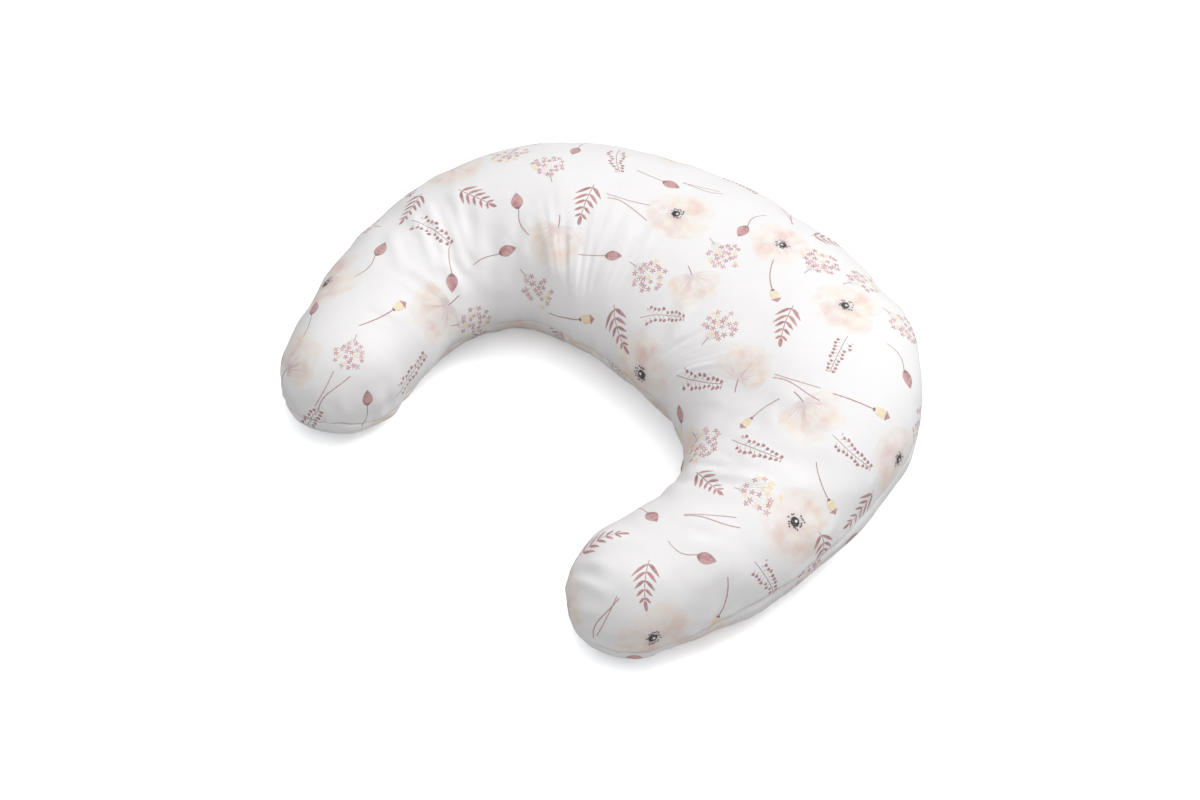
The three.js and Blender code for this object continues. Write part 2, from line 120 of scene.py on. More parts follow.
def frame_at(sg, s0, q, d_a=0.0, d_b=0.0):
    """Section frame of a layer d_a inside the face sideways and d_b inside it upwards."""
    s = np.where(q > 0, CAP_START + q * (TIP_CAP - d_a), s0)
    x, y, nx, ny = edge_at(sg * np.maximum(s, 1e-9))
    t = np.where(q > 0, CAP_START + q * TIP_CAP, s0) / EDGE_HALF
    w, b = width_at(t), height_at(t)
    c = np.sqrt(np.clip(1 - q ** 2, 0, 1))
    c2 = np.sqrt(np.clip(1 - q ** 2.2, 0, 1))
    return {"x": x - nx * w, "y": y - ny * w, "nx": nx, "ny": ny, "A": (w - d_a) * c, "B": (b - d_b) * c2,
            "zc": SEAM_LEVEL * b, "c": c, "w": w, "b": b}


def station_list(step, n_cap):
    """Signed stations from one tip to the other: (sign, s, q)."""
    n = int(round(CAP_START / step))
    half = [(i * CAP_START / n, 0.0) for i in range(n + 1)]
    half += [(CAP_START, math.sin(math.pi / 2 * i / n_cap)) for i in range(1, n_cap + 1)]
    half[-1] = (CAP_START, 1.0)
    full = [(-1.0, s, q) for s, q in reversed(half[1:])] + [(1.0, s, q) for s, q in half]
    a = np.array(full)
    return a[:, 0], a[:, 1], a[:, 2]


def smooth_floor(z, floor, k):
    """max(z, floor) with a rounded corner of size k."""
    h = np.clip(0.5 + 0.5 * (z - floor) / k, 0, 1)
    return floor * (1 - h) + z * h + k * h * (1 - h) * 0.5


def section_points(f, phi, floor=0.0, k=5.0):
    """Points of the sections at angles phi: rings x columns x 3."""
    cx, sz = power(np.cos(phi)), power(np.sin(phi))
    off = f["A"][:, None] * cx[None]
    x = f["x"][:, None] + f["nx"][:, None] * off
    y = f["y"][:, None] + f["ny"][:, None] * off
    z = f["zc"][:, None] + f["B"][:, None] * sz[None]
    return np.stack([x, y, smooth_floor(z, floor, k)], -1)


def smoothstep(a, b, x):
    t = np.clip((x - a) / (b - a), 0, 1)
    return t * t * (3 - 2 * t)


# ---------------------------------------------------------------- seeded smooth noise over 3-D points
_rng = np.random.default_rng(7)
_lattice = _rng.uniform(-1, 1, (32, 32, 32))


def noise3(p, scale, seed=0.0):
    """Value noise in [-1, 1], smooth, for points p (... x 3) in mm; scale is the feature size in mm."""
    g = p / scale + 100.0 + seed * 3.713
    i = np.floor(g).astype(int)
    f = g - i
    f = f * f * f * (f * (f * 6 - 15) + 10)
    out = 0
    for dx in (0, 1):
        for dy in (0, 1):
            for dz in (0, 1):
                w = (np.where(dx, f[..., 0], 1 - f[..., 0]) * np.where(dy, f[..., 1], 1 - f[..., 1])
                     * np.where(dz, f[..., 2], 1 - f[..., 2]))
                out = out + w * _lattice[(i[..., 0] + dx) % 32, (i[..., 1] + dy) % 32, (i[..., 2] + dz) % 32]
    return out


def noise1(x, scale, seed=0.0):
    p = np.stack([x, np.zeros_like(x) + seed * 17.3, np.zeros_like(x) + seed * 5.1], -1)
    return noise3(p, scale, seed)


# ---------------------------------------------------------------- mesh helpers
def make_mesh(name, verts_mm, faces, smooth=True):
    me = bpy.data.meshes.new(name)
    me.from_pydata((np.asarray(verts_mm, float) * MM).tolist(), [], faces)
    me.validate()
    me.update()
    if smooth:
        me.polygons.foreach_set("use_smooth", np.ones(len(me.polygons), bool))
    ob = bpy.data.objects.new(name, me)
    bpy.context.scene.collection.objects.link(ob)
    return ob


def grid_faces(ids, closed=False, flip=False):
    """Quads (or triangles where ids repeat) over a grid of vertex ids, rings x columns."""
    a, b = ids[:-1], ids[1:]
    if closed:
        a2, b2 = np.roll(a, -1, 1), np.roll(b, -1, 1)
    else:
        a, a2, b, b2 = a[:, :-1], a[:, 1:], b[:, :-1], b[:, 1:]
    out = []
    for q in np.stack([a, b, b2, a2], -1).reshape(-1, 4).tolist():
        u = [q[0]]
        for v in q[1:]:
            if v != u[-1] and v != u[0]:
                u.append(v)
        if len(u) >= 3:
            out.append(u[::-1] if flip else u)
    return out


def outward(ob):
    """Faces of a closed mesh turned to point outwards."""
    import bmesh
    bm = bmesh.new()
    bm.from_mesh(ob.data)
    bmesh.ops.recalc_face_normals(bm, faces=bm.faces)
    bm.to_mesh(ob.data)
    bm.free()
    ob.data.update()


def apply_modifiers(ob):
    dg = bpy.context.evaluated_depsgraph_get()
    me = bpy.data.meshes.new_from_object(ob.evaluated_get(dg), preserve_all_data_layers=True, depsgraph=dg)
    old = ob.data
    ob.modifiers.clear()
    ob.data = me
    me.name = ob.name
    bpy.data.meshes.remove(old)


def grid_normals(P, closed=False):
    """Unit normals of a rings x columns grid, by central differences."""
    du = np.gradient(P, axis=0)
    if closed:
        dv = (np.roll(P, -1, 1) - np.roll(P, 1, 1)) / 2
    else:
        dv = np.gradient(P, axis=1)
    n = np.cross(du, dv)
    l = np.linalg.norm(n, axis=-1, keepdims=True)
    return n / np.maximum(l, 1e-9)


def resample(grid_src, u_src, v_src, u, v):
    """Bilinear read of a field given on (u_src x v_src) at (u x v), both monotone; v is an angle that wraps."""
    out = np.empty((len(u), grid_src.shape[1]) + grid_src.shape[2:])
    i = np.clip(np.searchsorted(u_src, u) - 1, 0, len(u_src) - 2)
    f = ((u - u_src[i]) / (u_src[i + 1] - u_src[i]))
    f = np.clip(f, 0, 1).reshape((-1,) + (1,) * (grid_src.ndim - 1))
    rows = grid_src[i] * (1 - f) + grid_src[i + 1] * f
    vs = np.concatenate([v_src, [v_src[0] + 2 * math.pi]])
    rows = np.concatenate([rows, rows[:, :1]], 1)
    vv = np.mod(v - v_src[0], 2 * math.pi) + v_src[0]
    j = np.clip(np.searchsorted(vs, vv, side="right") - 1, 0, len(vs) - 2)
    g = ((vv - vs[j]) / (vs[j + 1] - vs[j]))
    g = g.reshape((1, -1) + (1,) * (grid_src.ndim - 2))
    return rows[:, j] * (1 - g) + rows[:, j + 1] * g


# ---------------------------------------------------------------- the cover, inflated as cloth
def closed_grid(step, n_cap, n_phi, inset=0.0):
    sg, s, q = station_list(step, n_cap)
    f = frame_at(sg, s, q, inset, inset)
    phi = np.arange(n_phi) * 2 * math.pi / n_phi
    P = section_points(f, phi, floor=inset)
    return sg, s, q, phi, P


def signed_u(sg, s, q):
    """One running number along the crescent, tip to tip."""
    return sg * (s + TIP_CAP * np.where(q > 0, np.arcsin(np.clip(q, 0, 1)) / (math.pi / 2), 0) * (math.pi / 2))


def inflate():
    """Cloth simulation of the closed cover: the seams are sewn short, the cloth is blown up from inside.
    Returns the displacement of the coarse grid, in mm."""
    n_phi, n_cap = 56, 9
    sg, s, q, phi, P = closed_grid(9.0, n_cap, n_phi, inset=5.0)
    rings = len(s)
    ids = np.arange(rings * n_phi).reshape(rings, n_phi)
    ids[0, :] = ids[0, 0]
    ids[-1, :] = ids[-1, 0]
    used = np.unique(ids)
    remap = -np.ones(rings * n_phi, int)
    remap[used] = np.arange(len(used))
    ob = make_mesh("cover_inflating", P.reshape(-1, 3)[used], grid_faces(remap[ids], closed=True))
    outward(ob)
    # the seam is gathered: its ring of points shrinks, the cloth beside it doesn't
    seam_w = np.zeros((rings, n_phi))
    for c0 in (0, n_phi // 2):
        seam_w[:, c0] = 1.0
        seam_w[:, (c0 + 1) % n_phi] = 0.55
        seam_w[:, c0 - 1] = 0.55
    u = signed_u(sg, s, q)
    seam_w *= (0.75 + 0.45 * noise1(u, 60, 3))[:, None]
    pin_w = smoothstep(8.0, 5.6, P[..., 2])
    def group(name, w):
        g = ob.vertex_groups.new(name=name)
        for vid, val in zip(remap[ids].ravel().tolist(), w.ravel().tolist()):
            g.add([vid], float(min(1, max(0, val))), "REPLACE")
    group("gather", seam_w)
    group("rest_on", pin_w)
    mod = ob.modifiers.new("inflate", "CLOTH")
    c = mod.settings
    c.quality = 7
    c.mass = 0.25
    c.tension_stiffness = c.compression_stiffness = 22
    c.shear_stiffness = 6
    c.bending_stiffness = 0.25
    c.tension_damping = c.compression_damping = 8
    c.use_pressure = True
    c.uniform_pressure_force = 4.0
    c.vertex_group_mass = "rest_on"
    c.pin_stiffness = 1.0
    c.vertex_group_shrink = "gather"
    c.shrink_min = -0.035
    c.shrink_max = 0.10
    c.effector_weights.gravity = 0.0
    mod.collision_settings.use_collision = False
    mod.collision_settings.use_self_collision = False
    mod.point_cache.frame_start, mod.point_cache.frame_end = 1, 24
    scene = bpy.context.scene
    for fr in range(1, 23):
        scene.frame_set(fr)
    dg = bpy.context.evaluated_depsgraph_get()
    ev = ob.evaluated_get(dg)
    co = np.zeros(len(ev.data.vertices) * 3)
    ev.data.vertices.foreach_get("co", co)
    Q = (co.reshape(-1, 3) / MM)[remap[ids]]
    scene.frame_set(1)
    bpy.data.objects.remove(ob)
    d = Q - P
    base = closed_grid(9.0, n_cap, n_phi, inset=0.0)[4]
    d = Q - base
    l = np.linalg.norm(d, axis=-1, keepdims=True)
    return u, phi, d, base, l


# ---------------------------------------------------------------- the displaced skin of the whole pillow
# how much fuller than the even shape the outside and the inside of the curve are, in mm along the length
WARP_OUT = ([-745, -330, 140, 200, 260, 330, 400, 460, 600, 690, 745], [0, 0, 0, 13, 18, 14, 0, -4, 0, 0, 0])
WARP_IN = ([-745, -200, -40, 80, 200, 270, 340, 400, 460, 520, 600, 690, 745], [0, 0, 4, 7, 8, 11, 16, 22, 19, 13, 5, 0, 0])
WARP_TOP = ([-745, -200, -120, 0, 80, 150, 210, 290, 370, 745], [0, 0, -4, -2, 7, 15, 10, 4, 0, 0])
TIP_SAG = 9.0
# the seams sit this many of the 192 steps around the section below mid height: length, steps
DROP_OUT = ([-745, -620, -340, 330, 440, 500, 560, 620, 660, 745], [7, 5, 0, 0, 1.2, 0.4, 0.6, 3.0, 6.0, 9])
DROP_IN = ([-745, -520, -260, -60, 260, 520, 745], [9, 8, 7, 4.0, 3.5, 6, 9])
SEAM_DROP = 3
# soft folds as (length, angle) of three points, width, height
FOLDS = [
    ((-458, 71), (-490, 96), (-523, 118), 4.2, 4.6), ((-450, 81), (-479, 103), (-508, 128), 4.2, 4.8),
    ((-422, 75), (-447, 94), (-479, 116), 4.6, 4.6), ((-483, 69), (-508, 92), (-537, 114), 4.4, 4.2),
    ((-519, 69), (-541, 84), (-566, 99), 5.0, 3.4), ((-523, 120), (-533, 135), (-544, 148), 4.0, 2.6),
    ((-414, 90), (-450, 112), (-497, 142), 6.0, 2.6), ((-389, 109), (-418, 126), (-476, 158), 6.5, 2.6),
    ((-342, 105), (-371, 122), (-414, 141), 5.5, 2.6), ((-306, 122), (-324, 141), (-364, 167), 6.0, 2.8),
    ((-223, 133), (-231, 146), (-259, 165), 6.0, 2.0), ((566, 129), (541, 109), (505, 81), 4.8, 7.0),
    ((551, 135), (530, 114), (497, 90), 4.0, -3.6), ((573, 112), (551, 92), (519, 79), 8.0, 2.2),
    ((526, 131), (515, 111), (490, 94), 5.0, -2.4), ((757, 112), (739, 82), (717, 60), 4.4, 3.6),
    ((748, 152), (726, 99), (708, 84), 4.6, 3.0), ((770, 9), (748, 41), (726, 38), 5.0, 3.0),
    ((623, -15), (620, 4), (613, 17), 3.6, 4.0), ((638, -17), (634, -2), (627, 9), 3.6, 3.2),
    ((598, -11), (595, 0), (587, 9), 3.8, 2.8), ((616, 84), (605, 79), (591, 73), 5.0, -2.4),
    ((704, 112), (682, 105), (659, 90), 7.0, 2.8), ((649, 109), (616, 99), (587, 88), 9.0, 2.0),
    ((-708, 171), (-704, 163), (-695, 152), 4.4, 2.2), ((-722, -171), (-726, 167), (-717, 156), 4.0, 2.4),
    ((-770, -169), (-761, 141), (-748, 114), 5.0, 2.0), ((-748, 22), (-748, 49), (-748, 71), 5.0, 2.2),
    ((68, 120), (115, 124), (148, 135), 6.0, 2.8), ((65, 148), (72, 139), (61, 126), 6.0, 2.4),
    ((450, 122), (422, 116), (382, 107), 6.0, 2.0), ((487, 17), (472, 21), (461, 28), 4.2, 2.6),
    ((422, 13), (414, 22), (396, 26), 4.6, 2.2), ((177, 88), (245, 92), (310, 92), 12.0, 1.6),
    ((-267, 86), (-259, 101), (-252, 116), 10.0, 1.6),
    ((-300, 150), (-296, 128), (-300, 104), 8.0, 2.2), ((330, 150), (318, 132), (300, 118), 7.0, 2.2),
    ((-470, -150), (-452, -128), (-430, -104), 6.0, 2.6), ((-60, -160), (-52, -136), (-40, -112), 7.0, 2.4),
    ((250, -158), (262, -134), (268, -110), 7.0, 2.6), ((560, -30), (548, -52), (542, -76), 6.0, 2.4),
    ((-600, -28), (-588, -52), (-580, -78), 6.0, 2.4), ((-420, 22), (-408, 40), (-404, 58), 7.0, 2.2),
    ((-150, 20), (-156, 36), (-150, 54), 9.0, 1.8), ((190, -24), (204, -44), (210, -66), 8.0, 2.2),
]


def gaussian_blur(a, su, sv):
    """Separable blur of rings x columns, clamped along the rings and wrapping across them."""
    def kernel(s):
        r = max(1, int(3 * s))
        k = np.exp(-0.5 * (np.arange(-r, r + 1) / s) ** 2)
        return k / k.sum(), r
    if su > 0:
        k, r = kernel(su)
        pad = np.concatenate([np.repeat(a[:1], r, 0), a, np.repeat(a[-1:], r, 0)])
        a = sum(k[i] * pad[i:i + len(a)] for i in range(2 * r + 1))
    if sv > 0:
        k, r = kernel(sv)
        a = sum(k[i] * np.roll(a, r - i, 1) for i in range(2 * r + 1))
    return a


def window(x, a, b, soft):
    return smoothstep(a - soft, a, x) * (1 - smoothstep(b, b + soft, x))


def ridge(P, A, B, C, width, amp, valley=0.55):
    """One soft fold: a bent ridge from A over B to C, with a shallow valley on both sides."""
    A, B, C = (np.asarray(v, float) for v in (A, B, C))
    best, tt = None, None
    for k, (p, q) in enumerate(((A, B), (B, C))):
        e = q - p
        t = np.clip(((P - p) @ e) / (e @ e), 0, 1)
        d = np.linalg.norm(P - (p + t[..., None] * e), axis=-1)
        g = (t + k) / 2
        if best is None:
            best, tt = d, g
        else:
            tt = np.where(d < best, g, tt)
            best = np.minimum(d, best)
    taper = np.sin(np.pi * np.clip(0.06 + 0.88 * tt, 0, 1)) ** 0.7
    r = np.exp(-0.5 * (best / width) ** 2) - valley * np.exp(-0.5 * (best / (2.1 * width)) ** 2)
    return amp * r * taper


def at_column(A, k):
    """Read rings x columns at a fractional column of its own for every ring."""
    n = A.shape[1]
    k = np.broadcast_to(np.asarray(k, float), (len(A),))
    j = np.floor(k).astype(int)
    g = (k - j).reshape((-1,) + (1,) * (A.ndim - 2))
    i = np.arange(len(A))
    return A[i, j % n] * (1 - g) + A[i, (j + 1) % n] * g


def build_skin():
    """Closed grid of the cover's outside: rings x columns, with folds, puckers and the seam's groove."""
    sg, s, q = station_list(3.6, 24)
    n_phi = 192
    f = frame_at(sg, s, q)
    phi = np.arange(n_phi) * 2 * math.pi / n_phi
    P = section_points(f, phi, floor=0.0, k=6.0)
    u = signed_u(sg, s, q)
    N = grid_normals(P, closed=True)
    centre = np.stack([f["x"], f["y"], f["zc"]], -1)[:, None]
    flip = np.sign(((P - centre) * N).sum(-1).mean())
    N = N * flip
    # mild asymmetry of the real, hand-stuffed pillow: fuller right shoulder and inner bend
    cosp = np.cos(phi)[None]
    out_w = smoothstep(-0.55, 0.75, cosp)
    in_w = smoothstep(-0.25, -0.95, cosp)
    uu = u[:, None]
    push = pchip(*WARP_OUT)(uu) * out_w
    push_in = pchip(*WARP_IN)(uu) * in_w
    ph_deg = np.degrees(phi)[None]
    push = push + pchip(*WARP_TOP)(uu) * smoothstep(10, 34, ph_deg) * smoothstep(118, 62, ph_deg)
    nxy = np.stack([f["nx"], f["ny"], np.zeros_like(f["nx"])], -1)[:, None]
    cap = np.clip(f["c"], 0, 1)[:, None]
    P = P + nxy * ((push - push_in) * cap)[..., None]
    # the ends sag: their widest line, with the seam on it, sits lower than half height
    sag = smoothstep(470, 660, np.abs(uu)) * TIP_SAG
    zc0 = f["zc"][:, None]
    rel = np.where(P[..., 2] > zc0, (P[..., 2] - zc0) / np.maximum(f["B"][:, None], 1), (zc0 - P[..., 2]) / zc0)
    P[..., 2] -= sag * np.clip(1 - rel ** 2, 0, 1) ** 1.5
    # distances along the section from the outer and the inner seam
    seg = np.linalg.norm(np.roll(P, -1, 1) - P, axis=-1)
    cum = np.concatenate([np.zeros((len(s), 1)), np.cumsum(seg, 1)], 1)
    total = cum[:, -1:]
    soft_cap = smoothstep(0.03, 0.5, cap[:, 0])
    drop_out, drop_in = pchip(*DROP_OUT)(u) * soft_cap, pchip(*DROP_IN)(u) * soft_cap
    k_out, k_in = n_phi - drop_out, n_phi // 2 + drop_in
    t_out = np.abs(cum[:, :-1] - at_column(cum, k_out)[:, None])
    t_out = np.minimum(t_out, total - t_out)
    t_in = np.abs(cum[:, :-1] - at_column(cum, k_in)[:, None])
    column = np.arange(n_phi)[None]
    top = (column <= k_in[:, None]) | (column >= k_out[:, None])
    rail = np.linalg.norm(np.diff(at_column(P, k_in), axis=0), axis=-1)
    u_in = np.concatenate([[0], np.cumsum(rail)])
    rail = np.linalg.norm(np.diff(at_column(P, k_out), axis=0), axis=-1)
    u_out = np.concatenate([[0], np.cumsum(rail)])
    # cloth simulation: only its folds are kept, the overall fullness is the fitted one
    us, ps, d, base, _ = inflate()
    n0 = grid_normals(base, closed=True)
    c0 = base.mean(1, keepdims=True)
    n0 = n0 * np.sign(((base - c0) * n0).sum(-1).mean())
    dn = (d * n0).sum(-1)
    dn = gaussian_blur(dn, 0.8, 0.7)
    hi = dn - gaussian_blur(dn, 4.5, 3.2)
    hi = 2.4 * np.tanh(hi / 6.0)
    folds = resample(hi, us, ps, u, phi)
    folds = gaussian_blur(folds, 1.6, 1.4)
    disp = folds * 1.15
    # filling: broad soft unevenness
    disp = disp + 1.9 * noise3(P, 95, 1) + 0.8 * noise3(P, 42, 2) + 0.36 * noise3(P, 19, 3)
    # the looser near horn: shallow dents
    loose = window(uu, 400, 735, 70) * np.where(top, 1.0, 0.5)
    disp = disp + loose * (0.75 * noise3(P, 31, 71) + 0.42 * noise3(P * [1.0, 1.0, 1.6], 16, 72))
    # gathers that start at the seams and die out in the panel
    for t, ur, amp, lam, reach, sd in ((t_out, u_out, 1.45, 13, 15, 10), (t_in, u_in, 1.9, 16, 22, 30)):
        for k, side in enumerate((top, ~top)):
            a = noise1(ur, lam, sd + k) * 0.75 + noise1(ur, lam * 0.55, sd + 4 + k) * 0.35
            shared = noise1(ur, lam * 0.9, sd + 8)
            a = (0.6 * a + 0.5 * shared)[:, None]
            rr = (reach * (1.0 + 0.7 * noise1(ur, lam * 1.7, sd + 12 + k)))[:, None]
            ends = 1.0 + 0.45 * smoothstep(380, 560, np.abs(uu))
            disp = disp + np.where(side, ends * amp * a * np.exp(-t / rr) * 1.6 * (1 - np.exp(-(t + 1.2) / 4.0)), 0)
    # longer gathers on the inside of the bend, where the cloth has to shorten
    bend = window(np.abs(uu), 0, 520, 120)
    a = noise1(u_in, 34, 51)[:, None] * 0.8 + noise1(u_in, 21, 52)[:, None] * 0.45
    a2 = noise1(u_in, 30, 53)[:, None] * 0.8 + noise1(u_in, 19, 54)[:, None] * 0.45
    disp = disp + bend * 3.1 * np.where(top, a, a2) * np.exp(-t_in / 68) * (1 - np.exp(-(t_in + 2) / 8.0))
    # fine creases that run across the length, strongest on the inside half
    run = np.stack([uu + 0 * t_in, t_in * 0.20 + 3.0 * noise3(P, 60, 64), 0 * t_in], -1)
    cross = noise3(run, 12, 61) * 0.8 + noise3(run, 20, 62) * 0.9
    patch = smoothstep(-0.15, 0.55, noise3(P, 70, 63)) * smoothstep(0.55, -0.5, cosp)
    disp = disp + 1.15 * cross * patch * window(np.abs(uu), -1, 640, 60)
    for A, B, C, width, amp in FOLDS:
        pts = [skin_point(P, u, phi, *v) for v in (A, B, C)]
        disp = disp + ridge(P, *pts, width, amp)
    # keep the zip's surroundings smooth, the foot flat and the poles tidy
    zipz = smoothstep(30, 14, t_out) * window(uu, -FACE_R * 0.400, FACE_R * 0.400, 26)
    disp = disp * (1 - 0.93 * zipz)
    groove = -1.7 * np.exp(-t_out / 3.2) * (1 - window(uu, -FACE_R * 0.385, FACE_R * 0.385, 12)) - 1.8 * np.exp(-t_in / 3.4)
    # towards the tips the seam pulls in more and the cloth stands up beside it
    arm = smoothstep(330, 520, np.abs(uu))
    groove = groove + arm * (0.9 * np.exp(-((t_out - 6.0) / 2.6) ** 2) - 0.9 * np.exp(-t_out / 2.0))
    disp = disp + groove * smoothstep(0.05, 0.35, cap)
    disp = disp * smoothstep(0.0, 0.22, cap)
    foot = smoothstep(0.5, 16.0, P[..., 2])
    disp = np.where(disp < 0, disp * (0.15 + 0.85 * foot), disp * foot)
    Q = P + N * disp[..., None]
    Q[..., 2] = np.maximum(Q[..., 2], 0.0)
    Q[0] = Q[0].mean(0)
    Q[-1] = Q[-1].mean(0)
    M = grid_normals(Q, closed=True)
    M = M * flip
    for r in (0, -1):
        M[r] = np.array([f["nx"][r], f["ny"][r], 0.0])
    return {"drop_out": drop_out, "drop_in": drop_in, "u": u, "phi": phi, "P": Q, "N": M, "f": f, "t_out": t_out, "t_in": t_in, "sg": sg, "s": s, "q": q,
            "u_out": u_out, "u_in": u_in, "base": P}


def skin_point(P, u, phi, up, deg):
    i = int(np.clip(np.searchsorted(u, up), 0, len(u) - 1))
    j = int(round((deg % 360) / 360 * len(phi))) % len(phi)
    return P[i, j]


def sample_skin(sk, i, ph, key="P"):
    """Read the skin at ring i (array) and angle ph (same length), linear in the angle."""
    n = len(sk["phi"])
    x = np.mod(ph, 2 * math.pi) / (2 * math.pi) * n
    j = np.floor(x).astype(int) % n
    g = (x - np.floor(x))[..., None]
    A = sk[key]
    return A[i, j] * (1 - g) + A[i, (j + 1) % n] * g


def edge_gap(sk):
    """Half width of the opening at the outer seam for every ring: a hair at the seam, wide at the zip."""
    b = np.abs(sk["u"]) / FACE_R
    w = smoothstep(math.radians(22.0), math.radians(21.3), b)
    return 0.32 * (1 - w) + 4.75 * w, w


def build_panel(sk, name, top, every, cols):
    """One cover panel: crowned cloth, its edges turned in at both seams, one cloth thick."""
    rings = np.arange(0, len(sk["u"]), every)
    if rings[-1] != len(sk["u"]) - 1:
        rings = np.append(rings, len(sk["u"]) - 1)
    f = {k: v[rings] for k, v in sk["f"].items()}
    gap, slot = (a[rings] for a in edge_gap(sk))
    B = np.maximum(f["B"], 0.01)
    cap = np.clip(f["c"], 0, 1)
    phi0 = np.arcsin(np.clip((gap / B), 0, 1) ** (ROUNDNESS / 2))
    phi1 = np.arcsin(np.clip((np.full_like(gap, 0.32) / B), 0, 1) ** (ROUNDNESS / 2))
    phi0, phi1 = np.where(cap < 0.08, 0.0, phi0), np.where(cap < 0.08, 0.0, phi1)
    t = np.linspace(0, 1, cols)
    step = (1 if top else -1) * 2 * math.pi / len(sk["phi"])
    first = phi0 - sk["drop_out"][rings] * step
    last = math.pi + sk["drop_in"][rings] * step - phi1
    ph = first[:, None] + (last - first)[:, None] * t[None]
    if not top:
        ph = -ph
    R = np.repeat(rings[:, None], cols, 1)
    P = sample_skin(sk, R, ph, "P")
    ph_col, Tg = ph, P
    nxy = np.stack([f["nx"], f["ny"], np.zeros_like(f["nx"])], -1)
    s = 1.0 if top else -1.0
    zc = f["zc"]
    # turned-in edges
    def turned(edge, inward, depths, gaps):
        out = []
        for dep, g in zip(depths, gaps):
            X = edge + inward * (dep * smoothstep(0.05, 0.5, cap))[:, None]
            X[:, 2] = zc + s * g
            out.append(X)
        return out
    d_slot = slot[:, None]
    outer = []
    for dep, dep_slot in ((0.9, 0.55), (2.2, 1.15), (4.6, 1.75)):
        dd = dep * (1 - slot) + dep_slot * slot
        X = P[:, 0] - nxy * (dd * smoothstep(0.05, 0.5, cap))[:, None]
        outer.append(X)
    inner = []
    for dep in (0.9, 2.2, 4.6):
        X = P[:, -1] + nxy * (dep * smoothstep(0.05, 0.5, cap))[:, None]
        inner.append(X)
    G = np.concatenate([np.stack(outer[::-1], 1), P, np.stack(inner, 1)], 1)
    for r in (0, -1):
        G[r] = sk["P"][0 if r == 0 else -1, 0]
    n_r, n_c = G.shape[:2]
    ids = np.arange(n_r * n_c).reshape(n_r, n_c)
    ids[0, :] = ids[0, 0]
    ids[-1, :] = ids[-1, 0]
    used = np.unique(ids)
    remap = -np.ones(n_r * n_c, int)
    remap[used] = np.arange(len(used))
    faces = grid_faces(remap[ids])
    ob = make_mesh(name, G.reshape(-1, 3)[used], faces)
    # point outwards
    me = ob.data
    c = np.array([v.normal for v in me.vertices])
    co = np.array([v.co for v in me.vertices])
    if ((c[:, 2] * (1 if top else -1)).mean()) < 0:
        me.flip_normals()
        me.update()
    # weave coordinates: along the length and along the section, in mm
    seg = np.linalg.norm(np.diff(G, axis=1), axis=-1)
    v_mm = np.concatenate([np.zeros((n_r, 1)), np.cumsum(seg, 1)], 1)
    v_mm -= v_mm[:, n_c // 2:n_c // 2 + 1]
    vert_uv = {}
    return ob, G, remap[ids], rings, v_mm


# ---------------------------------------------------------------- a small language for node trees
def srgb(r, g, b):
    def lin(c):
        c = c / 255
        return c / 12.92 if c <= 0.04045 else ((c + 0.055) / 1.055) ** 2.4
    return (lin(r), lin(g), lin(b), 1.0)


class V:
    """A value in a node tree that can be calculated with."""

    def __init__(self, t, s):
        self.t, self.s = t, s

    def m(self, op, *args, clamp=False):
        return calc(self.t, op, self, *args, clamp=clamp)

    def __add__(self, o): return self.m("ADD", o)
    __radd__ = __add__
    def __sub__(self, o): return self.m("SUBTRACT", o)
    def __rsub__(self, o): return calc(self.t, "SUBTRACT", o, self)
    def __mul__(self, o): return self.m("MULTIPLY", o)
    __rmul__ = __mul__
    def __truediv__(self, o): return self.m("DIVIDE", o)
    def __rtruediv__(self, o): return calc(self.t, "DIVIDE", o, self)
    def __neg__(self): return self.m("MULTIPLY", -1.0)
    def __pow__(self, o): return self.m("POWER", o)
    def abs(self): return self.m("ABSOLUTE")
    def sin(self): return self.m("SINE")
    def cos(self): return self.m("COSINE")
    def sqrt(self): return self.m("SQRT")
    def floor(self): return self.m("FLOOR")
    def fract(self): return self.m("FRACT")
    def min(self, o): return self.m("MINIMUM", o)
    def max(self, o): return self.m("MAXIMUM", o)
    def lt(self, o): return self.m("LESS_THAN", o)
    def gt(self, o): return self.m("GREATER_THAN", o)
    def clamp(self): return self.m("ADD", 0.0, clamp=True)

    def step(self, a, b):
        """0 below a, 1 above b, smooth between; a may be the larger one."""
        n = self.t.nodes.new("ShaderNodeMapRange")
        n.interpolation_type = "SMOOTHSTEP"
        put(self.t, n.inputs[0], self)
        rev = not isinstance(a, V) and not isinstance(b, V) and a > b
        put(self.t, n.inputs[1], b if rev else a)
        put(self.t, n.inputs[2], a if rev else b)
        n.inputs[3].default_value, n.inputs[4].default_value = (1.0, 0.0) if rev else (0.0, 1.0)
        return V(self.t, n.outputs[0])


def put(t, inp, v):
    if isinstance(v, V):
        t.links.new(v.s, inp)
    elif isinstance(v, (tuple, list)):
        inp.default_value = v if len(v) == len(inp.default_value) else tuple(v)[:len(inp.default_value)]
    else:
        inp.default_value = float(v)


def calc(t, op, a, b=None, c=None, clamp=False):
    n = t.nodes.new("ShaderNodeMath")
    n.operation, n.use_clamp = op, clamp
    for i, v in enumerate((a, b, c)):
        if v is not None:
            put(t, n.inputs[i], v)
    return V(t, n.outputs[0])


def mixc(t, f, a, b, blend="MIX"):
    n = t.nodes.new("ShaderNodeMix")
    n.data_type, n.blend_type = "RGBA", blend
    put(t, n.inputs[0], f)
    put(t, n.inputs[6], a)
    put(t, n.inputs[7], b)
    return V(t, n.outputs[2])


def vec(t, x, y, z=0.0):
    n = t.nodes.new("ShaderNodeCombineXYZ")
    for i, v in enumerate((x, y, z)):
        put(t, n.inputs[i], v)
    return V(t, n.outputs[0])


def parts(t, v):
    n = t.nodes.new("ShaderNodeSeparateXYZ")
    t.links.new(v.s, n.inputs[0])
    return [V(t, o) for o in n.outputs]


